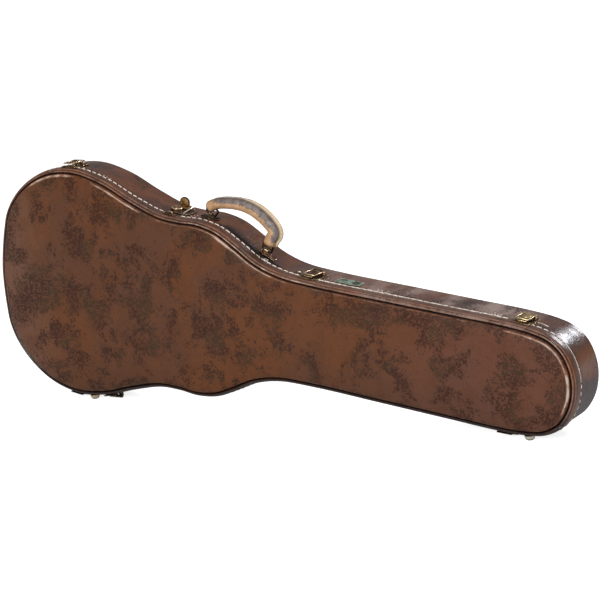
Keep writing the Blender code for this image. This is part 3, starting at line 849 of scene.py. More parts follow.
class Effects:
    """Node groups that several finishes share."""

    def __init__(self) -> None:
        """Builds each group once."""
        cloudy = {"Place": None, "Amount": 0.5, "Cloud Scale": 19.0, "Speck Scale": 310.0}
        self.clusters = self._group("speck_clusters", cloudy, self._clusters)
        self.grain = self._group("fine_grain", {"Place": None, "Scale": 900.0, "Creases": 0.2}, self._grain)
        self.rub = self._group("edge_rub", {"Place": None, "Wear": 0.0, "Breakup": 75.0}, self._rub)
        plated = {"Place": None, "Amount": 0.5, "Edge": 0.0, "Bright": (0.8, 0.6, 0.25), "Dark": (0.12, 0.06, 0.03)}
        self.tarnish = self._group("tarnish", plated, self._tarnish)

    def _group(self, name: str, inputs: dict[str, object],
               fill: Callable[[Graph, bpy.types.NodeOutputs], dict[str, Socket]]) -> bpy.types.NodeTree:
        """Makes one node group.

        Args:
            name: its name.
            inputs: default of each input: a number, a colour, or None for a place.
            fill: lays its nodes, given its graph and inputs, and names its outputs.

        Returns:
            The group.
        """
        tree = bpy.data.node_groups.new(name, "ShaderNodeTree")
        for key, value in inputs.items():
            kind = "Vector" if value is None else "Color" if isinstance(value, tuple) else "Float"
            socket = tree.interface.new_socket(name=key, in_out="INPUT", socket_type="NodeSocket" + kind)
            if value is not None:
                socket.default_value = (*value, 1.0) if isinstance(value, tuple) else value
        made = fill(Graph(tree), tree.nodes.new("NodeGroupInput").outputs)
        for key, result in made.items():
            kind = "Color" if result.type == "RGBA" else "Float"
            tree.interface.new_socket(name=key, in_out="OUTPUT", socket_type="NodeSocket" + kind)
        out = tree.nodes.new("NodeGroupOutput")
        for key, result in made.items():
            tree.links.new(result, out.inputs[key])
        return tree

    @staticmethod
    def _clusters(g: Graph, given: bpy.types.NodeOutputs) -> dict[str, Socket]:
        """Clouds of small dark specks, as sponged on leatherette.

        Args:
            g: the group's nodes.
            given: its inputs.

        Returns:
            Its outputs by name.
        """
        cloud = g.noise(given["Place"], given["Cloud Scale"], 5.0, 0.68, 0.3)
        fine = g.noise(given["Place"], given["Speck Scale"], 4.0, 0.64, 0.4)
        cloud = g.span(g.math("ADD", cloud, g.line(given["Amount"], 0.24, -0.12)), 0.46, 0.60)
        return {"Cloud": cloud, "Specks": g.span(g.line(cloud, 0.175, fine), 0.61, 0.68)}

    @staticmethod
    def _grain(g: Graph, given: bpy.types.NodeOutputs) -> dict[str, Socket]:
        """Fine pebbled grain with a few longer creases.

        Args:
            g: the group's nodes.
            given: its inputs.

        Returns:
            Its outputs by name.
        """
        inputs = {"Vector": given["Place"], "Scale": given["Scale"]}
        cells = g.add("TexVoronoi", inputs, feature="SMOOTH_F1").outputs["Distance"]
        broad = g.noise(given["Place"], 60.0, 4.0, 0.6, 0.8)
        crease = g.span(g.math("ABSOLUTE", g.math("SUBTRACT", broad, 0.5)), 0.0, 0.03)
        return {"Height": g.line(crease, given["Creases"], cells)}

    @staticmethod
    def _rub(g: Graph, given: bpy.types.NodeOutputs) -> dict[str, Socket]:
        """Wear along edges, with the painted highlights that ride on it, broken up as scraped paint is.

        Args:
            g: the group's nodes.
            given: its inputs.

        Returns:
            Its outputs by name.
        """
        grit = g.noise(given["Place"], given["Breakup"], 5.0, 0.65)
        level = g.math("ADD", given["Wear"], g.line(grit, 0.9, -0.45))
        level = g.times(level, g.span(given["Wear"], 0.02, 0.12))
        return {"Pale": g.span(level, 0.44, 0.66), "Warm": g.span(level, 0.10, 0.44)}

    @staticmethod
    def _tarnish(g: Graph, given: bpy.types.NodeOutputs) -> dict[str, Socket]:
        """Old brass: polished on high spots, brown and reddish in the rest.

        Args:
            g: the group's nodes.
            given: its inputs.

        Returns:
            Its outputs by name.
        """
        broad = g.noise(given["Place"], 110.0, 4.0, 0.65, 0.4)
        fine = g.noise(given["Place"], 620.0, 3.0, 0.6)
        level = g.math("ADD", g.line(fine, 0.35, broad), g.line(given["Amount"], 0.6, -0.42))
        share = g.span(g.math("SUBTRACT", level, g.times(given["Edge"], 0.42)), 0.36, 0.80)
        return {"Color": g.mix(share, given["Bright"], given["Dark"]),
                "Roughness": g.line(share, 0.28, 0.31), "Height": fine}


# --- the finishes

class Paint(Graph):
    """The nodes of one material."""

    def __init__(self, tree: bpy.types.NodeTree, effects: Effects) -> None:
        """Starts them with the position on the case."""
        super().__init__(tree)
        self.effects = effects
        self.place = self.add("TexCoord").outputs["Object"]


def shade(colour: Colour, share: float) -> Colour:
    """The colour times a share, kept within 1."""
    return tuple(min(c * share, 1.0) for c in colour)


@dataclass(frozen=True)
class Finish:
    """A finish of the case.

    Args:
        name: name of its material.
    """

    name: str

    def build(self, effects: Effects) -> bpy.types.Material:
        """Makes the material.

        Args:
            effects: node groups that finishes share.

        Returns:
            The material.
        """
        made = bpy.data.materials.new(self.name)
        made.use_nodes = True
        g = Paint(made.node_tree, effects)
        shader = made.node_tree.nodes["Principled BSDF"]
        for key, value in self.surface(g).items():
            g.feed(shader.inputs[key], value)
        return made

    def surface(self, g: Paint) -> dict[str, object]:
        """What the main shader is given.

        Args:
            g: the material's nodes.

        Returns:
            Sockets, colours or numbers, by the name of the shader's input.
        """
        raise NotImplementedError


@dataclass(frozen=True)
class Leatherette(Finish):
    """Glossy mottled covering that is glued on the case.

    Args:
        base: main colour.
        cool: colour of the greyer areas.
        olive: colour of the greener specks.
        speck: colour of the dark specks.
        amount: how much of the surface has specks.
        gloss: its middle roughness.
        shine: strength of its reflections.
        streak: how far brushed streaks show.
        dust: pale dust beside the neck.
        grey_reflection: painted grey reflection at the butt, and a little towards the head.
        head_light_bands: painted light and shade by height on the head end: warmer under its highlight, darker low
            down.
        ribs: strength of the painted shade in the cross ribs' valleys.
        pale: colour where it is rubbed through, and of painted highlights.
        warm: colour round those places, and of painted warm highlights.
        grime_and_shade: colour of settled dirt and of painted shade.
    """

    base: Colour = (0.140, 0.050, 0.020)
    cool: Colour = (0.112, 0.047, 0.026)
    olive: Colour = (0.048, 0.028, 0.015)
    speck: Colour = (0.038, 0.015, 0.010)
    amount: float = 0.5
    gloss: float = 0.36
    shine: float = 0.17
    streak: float = 0.0
    dust: float = 0.0
    grey_reflection: float = 0.0
    head_light_bands: float = 0.0
    ribs: float = 0.0
    pale: Colour = (0.60, 0.50, 0.42)
    warm: Colour = (0.34, 0.17, 0.105)
    grime_and_shade: Colour = (0.009, 0.006, 0.006)

    def _ground(self, g: Paint, along: Socket, up: Socket) -> Socket:
        """Colour of the covering, with its painted reflection and painted bands of light and shade, before its specks
        and wear.

        Args:
            g: the material's nodes.
            along: place from the butt to the head end.
            up: height.

        Returns:
            The colour.
        """
        butt_reflection_grey, head_reflection_grey, dusty = (0.165, 0.080, 0.052), (0.132, 0.056, 0.041), (0.33, 0.235, 0.205)
        tan, foot = (0.175, 0.062, 0.024), (0.045, 0.028, 0.034)
        colour = g.mix(g.span(g.noise(g.place, 9.0, 4.0, 0.6, 0.3), 0.40, 0.60), self.base, self.cool)
        # Painted grey reflection, strong at the butt end and light towards the head.
        if self.grey_reflection:
            colour = g.tint(colour, g.span(along, -0.38, -0.52), self.grey_reflection, butt_reflection_grey)
            colour = g.tint(colour, g.span(along, 0.16, 0.36), 0.6 * self.grey_reflection, head_reflection_grey)
        drift = g.noise(g.place, 30.0, 3.0, 0.6)
        colour = g.tint(colour, g.span(drift, 0.40, 0.65), 0.4, shade(self.base, 0.74))
        if self.streak:
            lines = g.noise(g.stretched(g.place, (9.0, 46.0, 30.0)), 1.0, 5.0, 0.6)
            colour = g.tint(colour, g.span(lines, 0.42, 0.7), self.streak, shade(self.base, 1.9))
        if self.dust:
            cloudy = g.span(g.noise(g.stretched(g.place, (22.0, 7.0, 22.0)), 1.0, 4.0, 0.6), 0.3, 0.65)
            share = g.times(g.times(g.span(along, 0.0, 0.22), self.dust), cloudy)
            inside = g.times(g.span(along, 0.49, 0.44), g.span(up, 0.09, 0.15))
            colour = g.tint(colour, share, inside, dusty)
        # Painted light and shade on the head end: a warm band under its highlight, darker near the floor.
        if self.head_light_bands:
            end = g.times(g.span(along, 0.48, 0.52), self.head_light_bands)
            colour = g.tint(colour, end, g.span(up, 0.145, 0.12), tan)
            colour = g.tint(colour, end, g.span(up, 0.098, 0.075), foot)
        return colour

    def surface(self, g: Paint) -> dict[str, object]:
        """Mottled colour, wear, dirt, painted highlights and painted shade, and grain.

        Args:
            g: the material's nodes.

        Returns:
            What the shader is given.
        """
        painted_valley_shade, pitch = (0.035, 0.016, 0.011), 3.1
        axes = g.add("SeparateXYZ", {"Vector": g.place}).outputs
        colour = self._ground(g, axes["X"], axes["Z"])
        specks = g.group(g.effects.clusters, {"Place": g.place, "Amount": self.amount})
        dark = g.mix(g.span(g.noise(g.place, 21.0, 2.0), 0.46, 0.60), self.speck, self.olive)
        colour = g.tint(colour, specks["Cloud"], 0.17, self.speck)
        colour = g.tint(colour, specks["Specks"], 0.84, dark)
        rub = g.group(g.effects.rub, {"Place": g.place, "Wear": g.attribute("wear")})
        # Wear and painted highlights lighten the colour.
        colour = g.tint(colour, rub["Warm"], 0.65, self.warm)
        colour = g.tint(colour, rub["Pale"], 0.85, self.pale)
        # Painted shade in grooves, gaps and folds and under the case darkens it.
        colour = g.tint(colour, g.attribute("soil"), 0.94, self.grime_and_shade)
        # Painted shade in the valleys of the band's cross ribs.
        if self.ribs:
            wave = g.math("SINE", g.times(g.attribute("travel"), math.tau / pitch))
            rib_shade_mask = g.math("MAXIMUM", g.times(wave, g.attribute("ribbed")), 0.0)
            colour = g.tint(colour, rib_shade_mask, self.ribs, painted_valley_shade)
        rough = g.line(g.noise(g.place, 34.0, 4.0, 0.6), 0.16, self.gloss - 0.06)
        rough = g.math("ADD", rough, g.times(rub["Pale"], 0.25))
        if self.head_light_bands:
            low = g.times(g.span(axes["X"], 0.48, 0.52), g.span(axes["Z"], 0.115, 0.085))
            rough = g.line(low, 0.22, rough)
        grain = g.group(g.effects.grain, {"Place": g.place, "Scale": 760.0, "Creases": 0.5})
        sag = g.bump(g.noise(g.place, 40.0, 2.0, 0.5), 0.0022, 0.5)
        return {"Base Color": colour, "Roughness": rough, "Specular IOR Level": self.shine,
                "Normal": g.bump(grain["Height"], 0.00016, 0.55, sag)}


@dataclass(frozen=True)
class Brass(Finish):
    """Old plated brass.

    Args:
        bright: colour where it is rubbed clean.
        dark: colour where it is tarnished.
        grime_and_shade: colour of its dirt, and of painted shade at the foot of a glide.
        amount: how far it is tarnished.
    """

    bright: Colour = (0.78, 0.55, 0.22)
    dark: Colour = (0.16, 0.085, 0.04)
    grime_and_shade: Colour = (0.012, 0.008, 0.006)
    amount: float = 0.5

    def surface(self, g: Paint) -> dict[str, object]:
        """Tarnish, rubbed edges, dirt, and painted shade where a glide meets the ground.

        Args:
            g: the material's nodes.

        Returns:
            What the shader is given.
        """
        worn = g.group(g.effects.tarnish, {"Place": g.place, "Amount": self.amount, "Edge": g.attribute("edge"),
                                         "Bright": self.bright, "Dark": self.dark})
        # Dirt, and painted shade at the foot of the glides.
        soil = g.attribute("soil")
        return {"Metallic": 1.0, "Base Color": g.tint(worn["Color"], soil, 0.93, self.grime_and_shade),
                "Roughness": g.line(soil, 0.3, worn["Roughness"]),
                "Normal": g.bump(worn["Height"], 0.00012, 0.6)}


@dataclass(frozen=True)
class HandleLeather(Finish):
    """Tan handle leather, greyed and polished where hands hold it.

    Args:
        tan: main colour.
        peach: colour of its lighter patches.
        grey: colour where hands have worn it.
        cream: colour of the fin's rubbed crest.
        grime_and_shade: colour of its dirt and of painted shade in its creases, under it and at its ends.
    """

    tan: Colour = (0.50, 0.285, 0.145)
    peach: Colour = (0.60, 0.37, 0.21)
    grey: Colour = (0.235, 0.190, 0.178)
    cream: Colour = (0.66, 0.50, 0.31)
    grime_and_shade: Colour = (0.075, 0.045, 0.028)

    def surface(self, g: Paint) -> dict[str, object]:
        """Mottled tan, worn grey, painted shade in creases, with grain.

        Args:
            g: the material's nodes.

        Returns:
            What the shader is given.
        """
        mottled = g.noise(g.place, 90.0, 5.0, 0.65, 0.4)
        broad = g.noise(g.place, 38.0, 4.0, 0.6, 0.3)
        hand = g.math("ADD", g.attribute("wear"), g.line(g.noise(g.place, 85.0, 5.0, 0.7, 0.6), 2.6, -1.3))
        colour = g.mix(g.span(mottled, 0.38, 0.62), self.peach, self.tan)
        colour = g.tint(colour, g.span(broad, 0.45, 0.62), 0.45, shade(self.tan, 0.68))
        worn = g.mix(g.span(mottled, 0.44, 0.60), self.grey, shade(self.grey, 0.52))
        colour = g.mix(g.span(hand, 0.30, 0.66), colour, worn)
        colour = g.tint(colour, g.attribute("crest"), 0.85, self.cream)
        grain = g.group(g.effects.grain, {"Place": g.place, "Scale": 1100.0, "Creases": 0.9})
        # Painted shade in the creases, underneath and at the ends darkens the colour.
        return {"Base Color": g.tint(colour, g.attribute("soil"), 0.8, self.grime_and_shade),
                "Roughness": g.line(mottled, 0.3, 0.34), "Normal": g.bump(grain["Height"], 0.0002, 0.8)}


@dataclass(frozen=True)
class Plush(Finish):
    """Deep short-pile lining.

    Args:
        pile: main colour.
        crushed: colour where the pile is pressed.
        sheen: colour of its sheen.
    """

    pile: Colour = (0.16, 0.012, 0.026)
    crushed: Colour = (0.26, 0.034, 0.055)
    sheen: Colour = (1.0, 0.55, 0.6)

    def surface(self, g: Paint) -> dict[str, object]:
        """Brushed pile with fine hairs.

        Args:
            g: the material's nodes.

        Returns:
            What the shader is given.
        """
        brushed = g.noise(g.place, 22.0, 4.0, 0.6, 1.2)
        hairs = g.noise(g.place, 1500.0, 2.0, 0.6)
        colour = g.mix(g.span(brushed, 0.40, 0.66), self.pile, self.crushed)
        return {"Base Color": g.tint(colour, hairs, 0.5, shade(self.pile, 0.35)), "Roughness": 0.95,
                "Sheen Weight": 0.7, "Sheen Roughness": 0.35, "Sheen Tint": self.sheen, "Specular IOR Level": 0.1,
                "Normal": g.bump(hairs, 0.0005, 0.7, g.bump(brushed, 0.0012, 0.6))}


@dataclass(frozen=True)
class Thread(Finish):
    """Waxed cream thread, dirty in places.

    Args:
        clean: its own colour.
        dirty: colour of the stains.
    """

    clean: Colour = (0.95, 0.86, 0.77)
    dirty: Colour = (0.46, 0.36, 0.28)

    def surface(self, g: Paint) -> dict[str, object]:
        """Stained thread with a fine twist."""
        stain = g.span(g.noise(g.place, 70.0, 4.0, 0.65), 0.48, 0.72)
        return {"Base Color": g.mix(stain, self.clean, self.dirty), "Roughness": 0.8,
                "Normal": g.bump(g.noise(g.place, 1300.0, 2.0, 0.5), 0.0003, 0.8)}


@dataclass(frozen=True)
class PaintedEdge(Finish):
    """Black edge of the plywood tongue.

    Args:
        colour: the paint.
        wood: colour of the plies that show through.
    """

    colour: Colour = (0.020, 0.015, 0.012)
    wood: Colour = (0.10, 0.06, 0.035)

    def surface(self, g: Paint) -> dict[str, object]:
        """Paint over plies."""
        plies = g.noise(g.stretched(g.place, (12.0, 300.0, 12.0)), 1.0, 3.0, 0.6)
        return {"Base Color": g.mix(g.span(plies, 0.5, 0.8), self.colour, self.wood),
                "Roughness": g.line(plies, 0.3, 0.5), "Normal": g.bump(plies, 0.0002)}


@dataclass(frozen=True)
class AgedLabel(Finish):
    """Bare pale green plate, stained by age.

    Args:
        face: its own colour.
        stain: colour of the blots.
        border: colour of its raised border.
    """

    face: Colour = (0.20, 0.29, 0.22)
    stain: Colour = (0.030, 0.036, 0.028)
    border: Colour = (0.40, 0.42, 0.34)

    def surface(self, g: Paint) -> dict[str, object]:
        """Faded and blotted face in a paler border.

        Args:
            g: the material's nodes.

        Returns:
            What the shader is given.
        """
        blot = g.noise(g.place, 105.0, 5.0, 0.7, 0.6)
        colour = g.mix(g.span(g.noise(g.place, 30.0, 3.0, 0.6), 0.35, 0.7), self.face, shade(self.face, 1.5))
        colour = g.mix(g.span(blot, 0.44, 0.56), colour, self.stain)
        return {"Base Color": g.tint(colour, g.attribute("soil"), 0.75, self.border),
                "Roughness": g.line(blot, 0.3, 0.25), "Normal": g.bump(blot, 0.0003, 0.5)}


@dataclass(frozen=True)
class StudioWhite(Finish):
    """White floor that glows towards the camera.

    Args:
        paint: its colour.
        glow: its own light as the camera sees it.
        glint: its own light as glossy pieces reflect it.
    """

    paint: Colour = (0.70, 0.70, 0.70)
    glow: float = 0.84
    glint: float = 0.06

    def surface(self, g: Paint) -> dict[str, object]:
        """Plain white with its glow.

        Args:
            g: the material's nodes.

        Returns:
            What the shader is given.
        """
        path = g.add("LightPath").outputs
        light = g.math("ADD", g.times(path["Is Camera Ray"], self.glow), g.times(path["Is Glossy Ray"], self.glint))
        return {"Base Color": self.paint, "Roughness": 0.9, "Specular IOR Level": 0.0,
                "Emission Color": (1.0, 1.0, 1.0), "Emission Strength": light}


# --- the shells

@dataclass
class Shells(Assembly):
    """Lid and base: bulged panels, side walls, sewn band and tongue.

    Sections are pairs of inset from the outline and depth from the middle.

    Args:
        skin: outside of a panel.
        backing: inside of a panel.
        bead: rounded rim of a side wall.
        lid_edge: the lid wall from the parting line to its rim.
        base_edge: the base wall from the parting line to its rim.
        band: closed section of the sewn band.
        tongue: closed section of the tongue.
        middle: depths of a panel's middle, outside and inside.
    """

    skin: Section = (
        (5.1, 34.4), (5.1, 38.4), (5.5, 40.2), (6.3, 41.7), (7.6, 43.1), (9.4, 44.3), (11.6, 45.2),
        (14.4, 45.9), (18.0, 46.6), (23.0, 47.3), (29.0, 48.0), (36.0, 48.7),
    )
    backing: Section = ((36.0, 43.6), (22.0, 42.5), (9.7, 39.2), (9.7, 34.4))
    bead: Section = (
        (0.55, 35.2), (0.5, 36.2), (0.12, 37.0), (0.0, 38.2), (0.1, 39.5), (0.6, 40.6), (1.5, 41.25),
        (2.5, 41.3), (3.5, 40.8), (4.2, 39.8), (4.45, 38.4), (4.5, 35.5),
    )
    lid_edge: Section = ((4.5, 19.7), (3.9, 19.6), (1.2, 19.6), (0.6, 19.8), (0.5, 20.6), (0.5, 30.0))
    base_edge: Section = (
        (4.5, -17.8), (3.9, -18.0), (1.0, -18.0), (0.3, -17.6), (0.0, -16.8), (0.0, -15.4), (0.0, -14.0),
        (0.0, -12.6), (0.0, -11.0), (0.0, -9.0), (0.0, 4.0), (0.0, 18.0), (0.0, 30.0), (0.15, 35.0),
    )
    band: Section = (
        (-0.15, -37.6), (-0.35, -38.1), (-0.8, -38.0), (-1.4, -37.0), (-2.0, -35.4), (-2.4, -33.4),
        (-2.5, -29.0), (-2.5, -25.9), (-2.42, -24.7), (-2.1, -23.9), (-2.02, -23.4), (-2.1, -22.9),
        (-2.42, -22.2), (-2.5, -21.2), (-2.35, -20.4), (-1.8, -19.8), (-0.9, -19.7), (-0.3, -19.9),
    )
    tongue: Section = ((5.1, -8.2), (5.1, -24.4), (5.5, -25.4), (6.1, -25.4), (6.5, -24.4), (6.5, -8.2))
    middle: tuple[float, float] = (50.4, 43.6)

    def _panel_wear_and_highlight(self, point: RimPoint, inset: float, y: float) -> float:
        """Rubbed shoulder of a panel, with painted highlight lines along it.

        Args:
            point: place on the outline.
            inset: distance inside it.
            y: depth.

        Returns:
            Abrasion and painted highlight, from 0 to 1.
        """
        u, v, inset = point.place.x / MM, point.place.y / MM, inset / MM
        thin, wide, deep = bell(inset, 7.4, 7.8, 1.3), bell(inset, 7.4, 9.6, 1.6), bell(inset, 9.2, 9.6, 1.7)
        # The thin line all round, the thin stretches and the first wide stretch by the butt are painted highlights on
        # the shoulder; the rest is rubbed wear.
        worn = [0.20 * thin]
        if point.side is Side.HANDLE:
            stretches = (
                (0.54, wide, 75, 150, 30), (0.30, thin, 330, 430, 60), (0.30, thin, 560, 900, 40),
                (0.66, thin, 440, 556, 14), (0.54, wide, 458, 478, 18), (0.62, deep, 216, 296, 16),
                (0.62, deep, 972, 1200, 12),
            )
            worn += [amount * line * bell(u, *reach) for amount, line, *reach in stretches]
        if u > 1020:
            worn += [0.62 * deep * bell(v, -32, 90, 12), 0.66 * wide * bell(v, -10, 26, 16)]
        return max(worn)

    def _panel_groove_shade(self, point: RimPoint, inset: float, y: float) -> float:
        """Painted shade in the groove round a panel."""
        return bell(inset / MM, 5.0, 5.6, 0.9) * bell(abs(y) / MM, 30.0, 41.0, 1.2)

    def _rim_wear_and_highlight(self, point: RimPoint, inset: float, y: float) -> float:
        """Rubbed crest of a wall's rim, with a painted highlight line along it.

        Args:
            point: place on the outline.
            inset: distance inside it.
            y: depth.

        Returns:
            Abrasion and painted highlight, from 0 to 1.
        """
        u = point.place.x / MM
        # A thin line on the crest: partly rubbed wear, partly painted highlight.
        line = bell(abs(y) / MM, 40.9, 41.6, 0.8) * bell(inset / MM, 1.3, 2.2, 1.2)
        worn = [0.26]
        if point.side is Side.HANDLE:
            worn += [0.56 * bell(u, 400, 620, 50), 0.40 * bell(u, 150, 380, 60), 0.36 * bell(u, 600, 1040, 40)]
        return (0.42 if u > 1040 else max(worn)) * line

    def _lid_shade(self, point: RimPoint, inset: float, y: float) -> float:
        """Painted shade on the inner flank of the lid's rim, in its groove, and under the case."""
        flank = bell(inset / MM, 4.0, 4.8, 0.7) * bell(-y / MM, 34.0, 41.0, 0.5)
        return max(flank, 0.90 * self._underside_shade(point))

    @staticmethod
    def _underside_shade(point: RimPoint) -> float:
        """How far the outline faces the ground, where painted shade darkens it."""
        return bell(-point.normal.y, 0.62, 1.2, 0.34)

    def _seam_gap(self, point: RimPoint, y: float) -> float:
        """How far the base wall's front edge has pulled in behind the band.

        Args:
            point: place on the outline.
            y: depth.

        Returns:
            The distance, in metres.
        """
        if point.side is Side.HINGE:
            return 0.0
        u = point.place.x / MM
        pulled = 2.8 * bell(u, 440, 530, 50) + 0.9 * bell(u, 590, 1000, 30)
        return pulled * bell(y / MM, -17.7, -12.6, 2.0) * MM

    def _front_shade(self, point: RimPoint, inset: float, y: float) -> float:
        """Painted shade along the front edge of the base wall, in the gap behind the band, heaviest by the handle; also
        in the rim's groove, on its far crest and under the case.

        Args:
            point: place on the outline.
            inset: distance inside it.
            y: depth.

        Returns:
            Painted shade from 0 to 1.
        """
        u = point.place.x / MM
        reach = 1.6
        if point.side is Side.HANDLE:
            reach += 7.5 * bell(u, 455, 530, 50) + 2.4 * bell(u, 590, 1000, 60)
        flank = bell(inset / MM, 4.0, 4.8, 0.7) * bell(y / MM, 34.0, 41.0, 0.5)
        return max(bell(y / MM, -22.0, -18.0 + reach, 1.2), 0.8 * flank,
                   0.55 * bell(y / MM, 38.6, 41.0, 1.0), 0.6 * self._underside_shade(point))

    def _band_shade(self, point: RimPoint, inset: float, y: float) -> float:
        """Painted shade by the band's rear edge, beside the stitches, in the fold by the lid's rim and under the case.
        """
        return max(0.75 * bell(y / MM, -20.2, -19.0, 0.7), 0.2 * bell(-y / MM, 38.1, 39.0, 0.2),
                   0.3 * bell(-y / MM, 23.0, 23.9, 0.6), 0.85 * self._underside_shade(point))

    def _band_wear(self, point: RimPoint, inset: float, y: float) -> float:
        """Rubbed fold of the band, beside the lid's rim."""
        return 0.34 * bell(-y / MM, 36.6, 38.0, 0.6)

    def _ribbed(self, point: RimPoint, inset: float, y: float) -> float:
        """Where the band's cross ribs show: all round but for the butt's seam."""
        plain = 12 * MM
        inside = plain < point.travel < self.plan.perimeter - plain
        return bell(-y / MM, 25.2, 34.6, 0.8) if inside else 0.0

    def panel(self, name: str, side: float, body: Body) -> None:
        """Bulged front or back of the case.

        Args:
            name: its name, which its node has too.
            side: -1 for the front, 1 for the back.
            body: the body that it rides on.
        """
        edge, slope = self.skin[-1], 60.0

        def crown(distance: float) -> float:
            """Rises from the skin's last ring to the flat middle."""
            share = min(max((distance / MM - edge[0]) / slope, 0.0), 1.0)
            return side * (edge[1] + (self.middle[0] - edge[1]) * (1.0 - (1.0 - share) ** 2)) * MM

        grown = RimSweep(self.plan, wear=self._panel_wear_and_highlight, soil=self._panel_groove_shade)
        grown.run(self.backing, side).run(self.skin, side)
        grown.cap(-1, crown)
        grown.cap(0, lambda distance: side * self.middle[1] * MM, 120.0 * MM)
        self.shop.piece(name, grown.finished(), body, Slot.COVERING, "panel_covering", [name], sharp=60.0)

    def walls(self) -> None:
        """Side walls of the lid and of the base, each with its rounded rim."""
        lid = RimSweep(self.plan, wear=self._rim_wear_and_highlight, soil=self._lid_shade)
        lid.run(self.lid_edge + self.bead, -1.0)
        base = RimSweep(self.plan, wear=self._rim_wear_and_highlight, soil=self._front_shade, dent=self._seam_gap)
        base.run(self.base_edge + self.bead[2:])
        for key, grown, body in (("lid", lid, Body.LID), ("base", base, Body.BASE)):
            self.shop.piece(f"{key}_side_wall", grown.closed(), body, Slot.COVERING, "wall_covering",
                       [f"{key}_wall"], sharp=60.0)

    def strips(self) -> None:
        """Band that overlaps the parting line, and the tongue that guides the lid."""
        band = RimSweep(self.plan, wear=self._band_wear, soil=self._band_shade, ribbed=self._ribbed)
        self.shop.piece("sewn_band", band.run(self.band).closed(), Body.LID, Slot.COVERING, "band_covering",
                   ["valance_band"], sharp=60.0)
        tongue = RimSweep(self.plan).run(self.tongue)
        self.shop.piece("guide_tongue", tongue.closed(), Body.BASE, Slot.EDGE, "painted_edge", ["alignment_tongue"])

    def build(self) -> None:
        """Makes all of it."""
        self.panel("lid_panel", -1.0, Body.LID)
        self.panel("back_panel", 1.0, Body.BASE)
        self.walls()
        self.strips()


